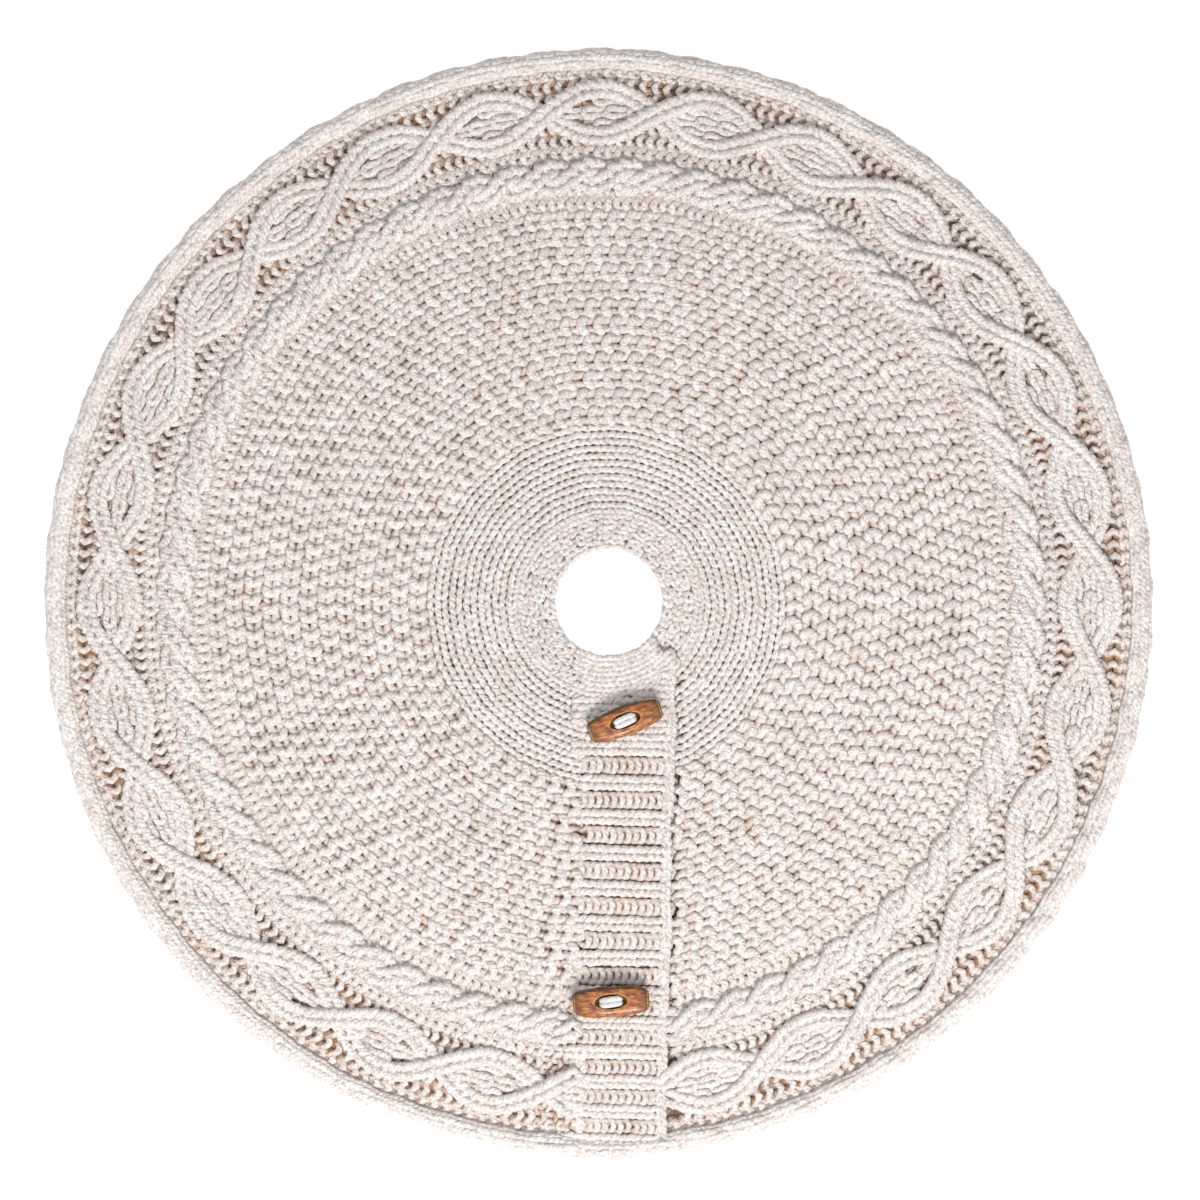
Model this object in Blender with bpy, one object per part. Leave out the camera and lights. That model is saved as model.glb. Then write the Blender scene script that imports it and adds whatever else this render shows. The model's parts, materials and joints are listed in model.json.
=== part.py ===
"""Knitted tree skirt: a round cloth with a trunk hole, a rib-knit slit closure and two wooden toggles.

Metres, +Z up. The origin is the middle of the outer rim, on the floor. The slit runs along -Y.
The trunk hole sits a little off the middle, and the closure has a frame of its own: its origin is the
middle of the trunk hole, and its -Y runs down the slit, turned a little from the skirt's own -Y.
"""

import math

import bmesh
import bpy
from mathutils import Matrix, Vector

# Overall sizes.
SKIRT_RADIUS = 0.457
HOLE_RADIUS = 0.045
HOLE_OFFSET = 0.0087
GAP = 0.0003
RING_STEPS = 60

# Widths of the knitted zones, from the rim inwards, then from the trunk hole outwards.
HEM_ROLL_WIDTH = 0.016
HEM_GUTTER_WIDTH = 0.008
DIAMOND_WIDTH = 0.056
CHANNEL_WIDTH = 0.010
ROPE_WIDTH = 0.029
ROPE_GUTTER_WIDTH = 0.011
COLLAR_WIDTH = 0.034
YOKE_WIDTH = 0.070

# Thickness of each zone at its middle, and how far its shoulders drop at both sides.
HEM_ROLL_HEIGHT = 0.0155
GUTTER_HEIGHT = 0.009
DIAMOND_HEIGHT = 0.0155
ROPE_HEIGHT = 0.016
MOSS_HEIGHT = 0.0115
YOKE_HEIGHT = 0.0105
COLLAR_HEIGHT = 0.012
SHOULDER_SHARE = 0.25
SHOULDER_WIDTH = 0.004

# The closure, in its own frame.
CLOSURE_TURN = math.radians(-1.5)
BAND_LEFT = -0.0187
BAND_RIGHT = 0.0563
UNDERLAP_LEFT = -0.0105
EDGE_CLEARANCE = 0.0023
UNDERLAP_HEIGHT = 0.007
OVERLAP_THICKNESS = 0.0095
LAP_CLEARANCE = 0.0005
OVERLAP_BOTTOM = UNDERLAP_HEIGHT + LAP_CLEARANCE
OVERLAP_TOP = OVERLAP_BOTTOM + OVERLAP_THICKNESS
RIM_INSET = 0.003
CORNER_ANGLE = math.radians(-45)
CORNER_SLOPE = 0.6
EDGE_BEVEL = 0.002
ARC_STEPS = 6
FOLD_CLEARANCE = 0.002
HINGE_HEIGHT = max(OVERLAP_TOP, ROPE_HEIGHT, DIAMOND_HEIGHT, HEM_ROLL_HEIGHT) + FOLD_CLEARANCE

# The toggles and the yarn that holds them.
TOGGLE_LENGTH = 0.063
TOGGLE_WIDTH = 0.025
TOGGLE_END_WIDTH = 0.0155
TOGGLE_THICKNESS = 0.014
TOGGLE_END_LIFT = 0.0035
TOGGLE_END_DROP = 0.0025
TOGGLE_SIDES = 12
TOGGLE_CLEARANCE = 0.002
PIVOT_HEIGHT = OVERLAP_TOP + TOGGLE_CLEARANCE
YARN_HOLE_SPACING = 0.014
POCKET_DEPTH = 0.0015
STITCH_RADIUS = 0.0026
STITCH_CLEARANCE = 0.0007
YARN_HOLE_RADIUS = STITCH_RADIUS + STITCH_CLEARANCE
SHANK_FOOT_RADIUS = 0.002
SHANK_RADIUS = 0.0038
SHANK_HEAD_RADIUS = 0.0055
SHANK_HEAD_GAP = 0.0012
YARN_CLEARANCE = 0.0004
KNOT_RADIUS = 0.006
KNOT_BOTTOM = 0.0008
KNOT_THICKNESS = 0.0024
KNOT_TOP = KNOT_BOTTOM + KNOT_THICKNESS
BUTTONHOLE_LENGTH = 0.030
BUTTONHOLE_WIDTH = 2 * (SHANK_HEAD_RADIUS + YARN_CLEARANCE)
BUTTONHOLE_MARGIN = 0.002
INNER_TOGGLE_X = 0.0157
INNER_TOGGLE_FROM_HOLE = 0.0514
INNER_TOGGLE_ANGLE = math.radians(21.5)
OUTER_TOGGLE_X = 0.0102
OUTER_TOGGLE_FROM_RIM = 0.1290
OUTER_TOGGLE_ANGLE = math.radians(5.5)

# Colours, linear: cream wool in its lit and shaded parts, and varnished wood.
CREAM = (0.80, 0.74, 0.66)
SHADED_CREAM = (0.62, 0.50, 0.38)
WOOD = (0.45, 0.17, 0.04)


def clear_scene():
    for obj in list(bpy.data.objects):
        bpy.data.objects.remove(obj)


def material(name, colour, roughness):
    made = bpy.data.materials.new(name)
    made.use_nodes = True
    shader = made.node_tree.nodes["Principled BSDF"]
    shader.inputs["Base Color"].default_value = (*colour, 1)
    shader.inputs["Roughness"].default_value = roughness
    shader.inputs["Metallic"].default_value = 0
    return made


def wool(name, colour=CREAM):
    return material(name + "_wool", colour, 0.95)


def finished(name, shape, finish, parent=None):
    """An object from a bmesh, under an empty where it has one."""
    bmesh.ops.recalc_face_normals(shape, faces=shape.faces[:])
    mesh = bpy.data.meshes.new(name)
    shape.to_mesh(mesh)
    shape.free()
    obj = bpy.data.objects.new(name, mesh)
    bpy.context.scene.collection.objects.link(obj)
    if finish:
        mesh.materials.append(finish)
    obj.parent = parent
    return obj


def pivot(name, place, turn=0.0, parent=None):
    """An empty that holds a moving piece on its joint's axis."""
    empty = bpy.data.objects.new(name, None)
    bpy.context.scene.collection.objects.link(empty)
    empty.location = place
    empty.rotation_euler.z = turn
    empty.parent = parent
    return empty


def cut(obj, cutter, name):
    """Takes a hidden cutter out of an object."""
    cutter.hide_render = True
    cutter.display_type = "WIRE"
    boolean = obj.modifiers.new(name, "BOOLEAN")
    boolean.operation = "DIFFERENCE"
    boolean.solver = "EXACT"
    boolean.object = cutter


def prism(outline, bottom, top):
    """A solid between two heights, from an outline that runs anticlockwise."""
    shape = bmesh.new()
    face = shape.faces.new([shape.verts.new((x, y, bottom)) for x, y in outline])
    raised = bmesh.ops.extrude_face_region(shape, geom=[face])["geom"]
    tops = [part for part in raised if isinstance(part, bmesh.types.BMVert)]
    bmesh.ops.translate(shape, verts=tops, vec=(0, 0, top - bottom))
    return shape


def bevel_top(shape, top, width):
    """Rounds the upper rim of a prism off with one flat."""
    edges = [e for e in shape.edges if all(abs(v.co.z - top) < GAP / 2 for v in e.verts)]
    bmesh.ops.bevel(
        shape, geom=edges, offset=width, affect="EDGES", segments=1, profile=0.5, material=-1
    )


# The round cloth.


def centre_shift(radius):
    """How far the rings' centre has moved towards the trunk hole's, at this radius."""
    share = (SKIRT_RADIUS - radius) / (SKIRT_RADIUS - HOLE_RADIUS)
    return HOLE_OFFSET * share


def ring_profile(inner, outer, height):
    low = height * (1 - SHOULDER_SHARE)
    shoulder = min(SHOULDER_WIDTH, (outer - inner) / 4)
    return [
        (inner, 0),
        (outer, 0),
        (outer, low),
        (outer - shoulder, height),
        (inner + shoulder, height),
        (inner, low),
    ]


def ring(name, inner, outer, height, closure_gap, colour=CREAM):
    """One zone of the cloth: a ring with domed shoulders, open where the closure is."""
    shape = bmesh.new()
    corners = [shape.verts.new((r, 0, z)) for r, z in ring_profile(inner, outer - GAP, height)]
    edges = [shape.edges.new((a, b)) for a, b in zip(corners, corners[1:] + corners[:1])]
    bmesh.ops.spin(
        shape,
        geom=corners + edges,
        cent=(0, 0, 0),
        axis=(0, 0, 1),
        angle=math.tau,
        steps=RING_STEPS,
        use_merge=True,
    )
    for vert in shape.verts:
        vert.co.x += centre_shift(math.hypot(vert.co.x, vert.co.y))
    obj = finished(name, shape, wool(name, colour))
    cut(obj, closure_gap, "closure")
    return obj


def make_rings(closure_gap):
    """The zones of the round cloth, from the rim inwards and then from the hole outwards."""
    outer = SKIRT_RADIUS
    for name, width, height, colour in (
        ("hem_roll", HEM_ROLL_WIDTH, HEM_ROLL_HEIGHT, CREAM),
        ("hem_gutter", HEM_GUTTER_WIDTH, GUTTER_HEIGHT, SHADED_CREAM),
        ("diamond_cable", DIAMOND_WIDTH, DIAMOND_HEIGHT, CREAM),
        ("cable_channel", CHANNEL_WIDTH, GUTTER_HEIGHT, SHADED_CREAM),
        ("rope_cable", ROPE_WIDTH, ROPE_HEIGHT, CREAM),
        ("rope_gutter", ROPE_GUTTER_WIDTH, GUTTER_HEIGHT, SHADED_CREAM),
    ):
        ring(name, outer - width, outer, height, closure_gap, colour)
        outer -= width
    inner = HOLE_RADIUS
    ring("inner_collar", inner, inner + COLLAR_WIDTH, COLLAR_HEIGHT, closure_gap)
    inner += COLLAR_WIDTH
    ring("stockinette_yoke", inner, inner + YOKE_WIDTH, YOKE_HEIGHT, closure_gap)
    inner += YOKE_WIDTH
    ring("moss_field", inner, outer, MOSS_HEIGHT, closure_gap)


# The closure.


def rim_centre():
    """The middle of the outer rim, in the closure's frame."""
    return Matrix.Rotation(-CLOSURE_TURN, 2) @ Vector((-HOLE_OFFSET, 0))


def rim_y(x, inset):
    """Where a line at this x meets the rim, in the closure's frame."""
    centre = rim_centre()
    return centre.y - math.sqrt((SKIRT_RADIUS - inset) ** 2 - (x - centre.x) ** 2)


def hole_arc(left, clearance):
    """Points round the trunk hole, from the band's left side to the corner where it leaves the hole."""
    radius = HOLE_RADIUS + clearance
    start = -math.pi / 2 + math.asin(left / radius)
    steps = range(ARC_STEPS + 1)
    angles = [start + (CORNER_ANGLE - start) * i / ARC_STEPS for i in steps]
    return [(radius * math.cos(a), radius * math.sin(a)) for a in angles]


def corner_y(x, clearance):
    """The line that the band follows from the hole's corner to its free side."""
    radius = HOLE_RADIUS + clearance
    from_corner = x - radius * math.cos(CORNER_ANGLE)
    return radius * math.sin(CORNER_ANGLE) - CORNER_SLOPE * from_corner


def neck_outline(left, right, clearance, bottom):
    upper = [*hole_arc(left, clearance), (right, corner_y(right, clearance))]
    return [(left, bottom), (right, bottom), *reversed(upper)]


def hem_outline(left, right, inset, top):
    steps = range(ARC_STEPS + 1)
    xs = [left + (right - left) * i / ARC_STEPS for i in steps]
    return [*((x, rim_y(x, inset)) for x in xs), (right, top), (left, top)]


def make_closure_gap(frame):
    """The cutter that opens every ring where the bands lie."""
    left = BAND_LEFT - GAP
    right = BAND_RIGHT + EDGE_CLEARANCE
    far = -SKIRT_RADIUS - HOLE_RADIUS
    outline = [
        (left, far),
        (right, far),
        (right, corner_y(right, 0) + EDGE_CLEARANCE),
        (HOLE_RADIUS * math.cos(CORNER_ANGLE), HOLE_RADIUS * math.sin(CORNER_ANGLE) + EDGE_CLEARANCE),
        (0, 0),
        (left, 0),
    ]
    return finished("closure_gap", prism(outline, -SHOULDER_WIDTH, 2 * OVERLAP_TOP), None, frame)


class Toggle:
    """Where a toggle sits, in the closure's frame, and what it needs around it."""

    def __init__(self, name, x, y, angle):
        self.name = name
        self.x = x
        self.y = y
        self.angle = angle

    def reach_y(self):
        """Half of the toggle's extent along the band, with a margin."""
        along = TOGGLE_LENGTH / 2 * abs(math.sin(self.angle))
        across = TOGGLE_WIDTH / 2 * math.cos(self.angle)
        return along + across + BUTTONHOLE_MARGIN


def toggles():
    inner_y = -HOLE_RADIUS - INNER_TOGGLE_FROM_HOLE
    outer_y = rim_y(OUTER_TOGGLE_X, 0) + OUTER_TOGGLE_FROM_RIM
    return (
        Toggle("inner", INNER_TOGGLE_X, inner_y, INNER_TOGGLE_ANGLE),
        Toggle("outer", OUTER_TOGGLE_X, outer_y, OUTER_TOGGLE_ANGLE),
    )


def make_underlap(frame, pair):
    """The band under the closure, with a recess below each toggle for the knot of its yarn."""
    left = UNDERLAP_LEFT
    right = BAND_RIGHT + EDGE_CLEARANCE - GAP
    upper = [*hole_arc(left, RIM_INSET), (right, corner_y(right, RIM_INSET))]
    steps = range(ARC_STEPS + 1)
    xs = [left + (right - left) * i / ARC_STEPS for i in steps]
    lower = [(x, rim_y(x, RIM_INSET)) for x in xs]
    shape = prism([*lower, *reversed(upper)], 0, UNDERLAP_HEIGHT)
    bevel_top(shape, UNDERLAP_HEIGHT, EDGE_BEVEL)
    band = finished("underlap_band", shape, wool("underlap_band"), frame)
    for toggle in pair:
        recess = turned([(0, -GAP), (KNOT_RADIUS + KNOT_BOTTOM, -GAP),
                         (KNOT_RADIUS + KNOT_BOTTOM, KNOT_TOP + GAP), (0, KNOT_TOP + GAP)])
        cutter = finished(toggle.name + "_knot_recess", recess, None, frame)
        cutter.location = (toggle.x, toggle.y, 0)
        cut(band, cutter, toggle.name + "_recess")
        radius = SHANK_FOOT_RADIUS + YARN_CLEARANCE
        channel = turned([(0, KNOT_BOTTOM), (radius, KNOT_BOTTOM),
                          (radius, 2 * UNDERLAP_HEIGHT), (0, 2 * UNDERLAP_HEIGHT)])
        cutter = finished(toggle.name + "_yarn_channel", channel, None, frame)
        cutter.location = (toggle.x, toggle.y, 0)
        cut(band, cutter, toggle.name + "_channel")


def make_overlap(frame, hinge, pair):
    """The band on top, in five lengths: the two round the toggles give way as the flap lifts."""
    inner, outer = pair
    breaks = [inner.y + inner.reach_y(), inner.y - inner.reach_y()]
    breaks += [outer.y + outer.reach_y(), outer.y - outer.reach_y()]
    left, right = BAND_LEFT, BAND_RIGHT
    lengths = {
        "overlap_neck": neck_outline(left, right, 0, breaks[0] + GAP),
        "inner_buttonhole": rectangle(left, right, breaks[1], breaks[0]),
        "overlap_middle": rectangle(left, right, breaks[2] + GAP, breaks[1] - GAP),
        "outer_buttonhole": rectangle(left, right, breaks[3], breaks[2]),
        "overlap_hem": hem_outline(left, right, 0, breaks[3] - GAP),
    }
    made = {}
    for name, outline in lengths.items():
        shape = prism(outline, OVERLAP_BOTTOM, OVERLAP_TOP)
        bevel_top(shape, OVERLAP_TOP, EDGE_BEVEL)
        bmesh.ops.translate(shape, verts=shape.verts[:], vec=-hinge.location)
        made[name] = finished(name, shape, wool(name), hinge)
    for toggle in pair:
        slot = prism(slot_outline(), OVERLAP_BOTTOM - EDGE_BEVEL, OVERLAP_TOP + EDGE_BEVEL)
        cutter = finished(toggle.name + "_slot", slot, None, frame)
        cutter.location = (toggle.x, toggle.y, 0)
        cut(made[toggle.name + "_buttonhole"], cutter, "slot")


def rectangle(left, right, low, high):
    return [(left, low), (right, low), (right, high), (left, high)]


def slot_outline():
    """A slot with round ends, along the band's width."""
    radius = BUTTONHOLE_WIDTH / 2
    reach = BUTTONHOLE_LENGTH / 2 - radius
    steps = range(ARC_STEPS + 1)
    angles = [math.pi * i / ARC_STEPS - math.pi / 2 for i in steps]
    right_end = [(reach + radius * math.cos(a), radius * math.sin(a)) for a in angles]
    return right_end + [(-x, -y) for x, y in right_end]


# The toggles and their yarn.


def turned(profile, steps=16):
    """A turned solid from a profile of (radius, height) points that starts and ends on the axis."""
    shape = bmesh.new()
    points = [shape.verts.new((r, 0, z)) for r, z in profile]
    edges = [shape.edges.new((a, b)) for a, b in zip(points, points[1:])]
    bmesh.ops.spin(
        shape,
        geom=points + edges,
        cent=(0, 0, 0),
        axis=(0, 0, 1),
        angle=math.tau,
        steps=steps,
        use_merge=True,
    )
    bmesh.ops.remove_doubles(shape, verts=shape.verts[:], dist=1e-6)
    return shape


def toggle_body():
    """A boat-shaped bar: widest and thickest at its middle, with flat ends that curve up."""
    shape = bmesh.new()
    rings = []
    for share in (-1, -0.72, -0.36, 0, 0.36, 0.72, 1):
        taper = share * share
        half_width = (TOGGLE_WIDTH + (TOGGLE_END_WIDTH - TOGGLE_WIDTH) * taper) / 2
        bottom = TOGGLE_END_LIFT * taper
        top = TOGGLE_THICKNESS - TOGGLE_END_DROP * taper
        circle = bmesh.ops.create_circle(shape, cap_ends=False, radius=1, segments=TOGGLE_SIDES)
        for vert in circle["verts"]:
            across, up = vert.co.x, vert.co.y
            height = (bottom + top) / 2 + up * (top - bottom) / 2
            vert.co = (share * TOGGLE_LENGTH / 2, across * half_width, height)
        rings.append(circle["verts"])
    for first, second in zip(rings, rings[1:]):
        bmesh.ops.bridge_loops(shape, edges=loop_edges(first) + loop_edges(second))
    for end in (rings[0], rings[-1]):
        bmesh.ops.contextual_create(shape, geom=loop_edges(end))
    return shape


def loop_edges(verts):
    found = set(verts)
    return [e for e in {e for v in verts for e in v.link_edges} if set(e.verts) <= found]


def make_toggle(toggle, swivel):
    """The wooden bar, its two yarn holes and the shallow pocket that joins them."""
    rock = pivot(toggle.name + "_rock_pivot", (0, 0, PIVOT_HEIGHT), 0, swivel)
    bar = finished(toggle.name + "_toggle", toggle_body(), material("toggle_wood", WOOD, 0.3), rock)
    for side in (-1, 1):
        hole = turned([(0, -0.01), (YARN_HOLE_RADIUS, -0.01), (YARN_HOLE_RADIUS, 0.03), (0, 0.03)])
        cutter = finished(f"{toggle.name}_yarn_hole_{side + 1}", hole, None, rock)
        cutter.location.x = side * YARN_HOLE_SPACING / 2
        cut(bar, cutter, f"hole_{side + 1}")
    floor = TOGGLE_THICKNESS - POCKET_DEPTH
    cutter = finished(toggle.name + "_pocket", prism(pocket_outline(), floor, 2 * floor), None, rock)
    cut(bar, cutter, "pocket")
    make_stitch(toggle, rock)


def pocket_outline():
    """The oval recess round both yarn holes."""
    radius = YARN_HOLE_RADIUS + YARN_CLEARANCE
    reach = YARN_HOLE_SPACING / 2
    steps = range(ARC_STEPS + 1)
    angles = [math.pi * i / ARC_STEPS - math.pi / 2 for i in steps]
    right_end = [(reach + radius * math.cos(a), radius * math.sin(a)) for a in angles]
    return right_end + [(-x, -y) for x, y in right_end]


def make_stitch(toggle, rock):
    """The yarn that comes up through one hole of the bar and goes down through the other."""
    curve = bpy.data.curves.new(toggle.name + "_toggle_stitch", "CURVE")
    curve.dimensions = "3D"
    curve.bevel_depth = STITCH_RADIUS
    curve.bevel_resolution = 1
    curve.use_fill_caps = True
    reach = YARN_HOLE_SPACING / 2
    floor = TOGGLE_THICKNESS - POCKET_DEPTH
    points = [
        (-reach, YARN_CLEARANCE),
        (-reach, floor - STITCH_RADIUS / 2),
        (-reach + STITCH_RADIUS / 3, floor + STITCH_RADIUS * 0.8),
        (-reach + STITCH_RADIUS, floor + STITCH_RADIUS + YARN_CLEARANCE),
    ]
    points += [(-x, z) for x, z in reversed(points)]
    spline = curve.splines.new("POLY")
    spline.points.add(len(points) - 1)
    for point, (x, z) in zip(spline.points, points):
        point.co = (x, 0, z, 1)
    curve.materials.append(wool(toggle.name + "_toggle_stitch"))
    stitch = bpy.data.objects.new(toggle.name + "_toggle_stitch", curve)
    bpy.context.scene.collection.objects.link(stitch)
    stitch.parent = rock


def make_shank(toggle, swivel):
    """The wound yarn that stands through the buttonhole and carries the bar."""
    top = PIVOT_HEIGHT - SHANK_HEAD_GAP
    profile = [
        (0, KNOT_TOP + GAP),
        (SHANK_FOOT_RADIUS, KNOT_TOP + GAP),
        (SHANK_FOOT_RADIUS, UNDERLAP_HEIGHT + GAP),
        (SHANK_RADIUS, UNDERLAP_HEIGHT + GAP),
        (SHANK_RADIUS, (UNDERLAP_HEIGHT + top) / 2),
        (SHANK_HEAD_RADIUS, top),
        (0, top),
    ]
    name = toggle.name + "_shank"
    finished(name, turned(profile), wool(name, SHADED_CREAM), swivel)


def make_knot(toggle, frame):
    """The knot that keeps the yarn from pulling up through the underlap band."""
    middle = (KNOT_BOTTOM + KNOT_TOP) / 2
    profile = [
        (0, KNOT_BOTTOM),
        (KNOT_RADIUS * 0.7, KNOT_BOTTOM),
        (KNOT_RADIUS, middle),
        (KNOT_RADIUS * 0.7, KNOT_TOP),
        (0, KNOT_TOP),
    ]
    name = toggle.name + "_yarn_knot"
    knot = finished(name, turned(profile, 12), wool(name), frame)
    knot.location = (toggle.x, toggle.y, 0)


def main():
    clear_scene()
    frame = pivot("closure_frame", (HOLE_OFFSET, 0, 0), CLOSURE_TURN)
    make_rings(make_closure_gap(frame))
    pair = toggles()
    make_underlap(frame, pair)
    hinge = pivot("overlap_hinge", (BAND_LEFT, 0, HINGE_HEIGHT), 0, frame)
    make_overlap(frame, hinge, pair)
    for toggle in pair:
        swivel = pivot(toggle.name + "_swivel", (toggle.x, toggle.y, 0), toggle.angle, frame)
        make_shank(toggle, swivel)
        make_toggle(toggle, swivel)
        make_knot(toggle, frame)


main()
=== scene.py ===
"""The looks of a knitted tree skirt: every stitch as its own loop of yarn, and two carved wooden toggles.

The skirt is knitted sideways in short-row wedges. A wale is a column of stitches that runs round the
skirt, and a course is a row that runs from the trunk hole out to the rim. All lengths are in metres.
"""

import json
import logging
import math
import random
from dataclasses import dataclass
from enum import Enum
from typing import Callable, Iterable, Iterator, Sequence

import bmesh
import bpy
import numpy as np
from mathutils import Matrix, Vector, noise


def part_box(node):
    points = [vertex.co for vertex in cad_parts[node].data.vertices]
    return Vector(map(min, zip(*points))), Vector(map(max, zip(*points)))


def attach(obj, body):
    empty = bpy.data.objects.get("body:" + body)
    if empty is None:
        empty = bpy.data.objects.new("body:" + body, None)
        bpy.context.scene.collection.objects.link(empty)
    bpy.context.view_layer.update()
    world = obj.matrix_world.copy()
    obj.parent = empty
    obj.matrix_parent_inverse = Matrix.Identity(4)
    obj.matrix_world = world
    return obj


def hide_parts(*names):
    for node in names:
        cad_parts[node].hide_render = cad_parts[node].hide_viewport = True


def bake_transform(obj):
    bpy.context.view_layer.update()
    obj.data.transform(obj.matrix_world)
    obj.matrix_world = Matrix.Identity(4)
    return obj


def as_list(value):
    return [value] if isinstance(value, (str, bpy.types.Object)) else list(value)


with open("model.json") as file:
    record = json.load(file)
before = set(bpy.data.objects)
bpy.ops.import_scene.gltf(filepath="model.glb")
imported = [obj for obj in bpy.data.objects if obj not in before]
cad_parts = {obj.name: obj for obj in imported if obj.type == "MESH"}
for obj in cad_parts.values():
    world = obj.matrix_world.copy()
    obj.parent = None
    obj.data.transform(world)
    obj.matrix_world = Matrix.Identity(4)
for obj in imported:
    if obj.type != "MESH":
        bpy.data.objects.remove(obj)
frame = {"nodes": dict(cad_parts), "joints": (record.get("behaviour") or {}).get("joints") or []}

LOG = logging.getLogger("tree_skirt")
MM = 0.001
SEED = 11
WEDGES = 18
WEDGE_BOW = 0.4
BOW_REACH = 0.8
EDGE_ZONE = 0.005
FAR_BELOW = 1.0
COLLAR_COURSES = (3, 4, 4, 5)
CABLE_COURSES = 15
MOSS_PIECES = 4
RIB_NODES = ("overlap_middle", "inner_buttonhole", "outer_buttonhole")

Triple = tuple[float, float, float]
Colour = tuple[float, float, float]
Field = Callable[[np.ndarray, np.ndarray], np.ndarray]
Pieces = list[bpy.types.Object]


# Shader tools.


class Value:
    """A number in a node tree: a socket whose operators add Math nodes."""

    def __init__(self, graph: "Graph", socket: bpy.types.NodeSocket) -> None:
        """Wraps an output socket of a graph.

        Args:
            graph: The graph that the socket is in.
            socket: An output that carries a number.
        """
        self.graph = graph
        self.socket = socket

    def _with(self, operation: str, first: object, second: object) -> "Value":
        """Adds a Math node.

        Args:
            operation: The Math node's operation.
            first: A number or a Value.
            second: A number or a Value.

        Returns:
            The node's output.
        """
        return self.graph.value("ShaderNodeMath", {"operation": operation}, {0: first, 1: second})

    def __add__(self, other: object) -> "Value":
        """This value plus another."""
        return self._with("ADD", self, other)

    def __radd__(self, other: object) -> "Value":
        """Another plus this value."""
        return self._with("ADD", other, self)

    def __sub__(self, other: object) -> "Value":
        """This value less another."""
        return self._with("SUBTRACT", self, other)

    def __rsub__(self, other: object) -> "Value":
        """Another less this value."""
        return self._with("SUBTRACT", other, self)

    def __mul__(self, other: object) -> "Value":
        """This value times another."""
        return self._with("MULTIPLY", self, other)

    def __rmul__(self, other: object) -> "Value":
        """Another times this value."""
        return self._with("MULTIPLY", other, self)

    def sine(self) -> "Value":
        """The sine of this value, in radians."""
        return self._with("SINE", self, 0.0)

    def absolute(self) -> "Value":
        """This value without its sign."""
        return self._with("ABSOLUTE", self, 0.0)

    def between(self, low: float, high: float) -> "Value":
        """A smooth step from 0 at low to 1 at high.

        Args:
            low: Where the step starts.
            high: Where it ends.

        Returns:
            The step, from 0 to 1.
        """
        settings = {"interpolation_type": "SMOOTHSTEP"}
        sockets = {"Value": self, "From Min": low, "From Max": high}
        return self.graph.value("ShaderNodeMapRange", settings, sockets)


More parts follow.
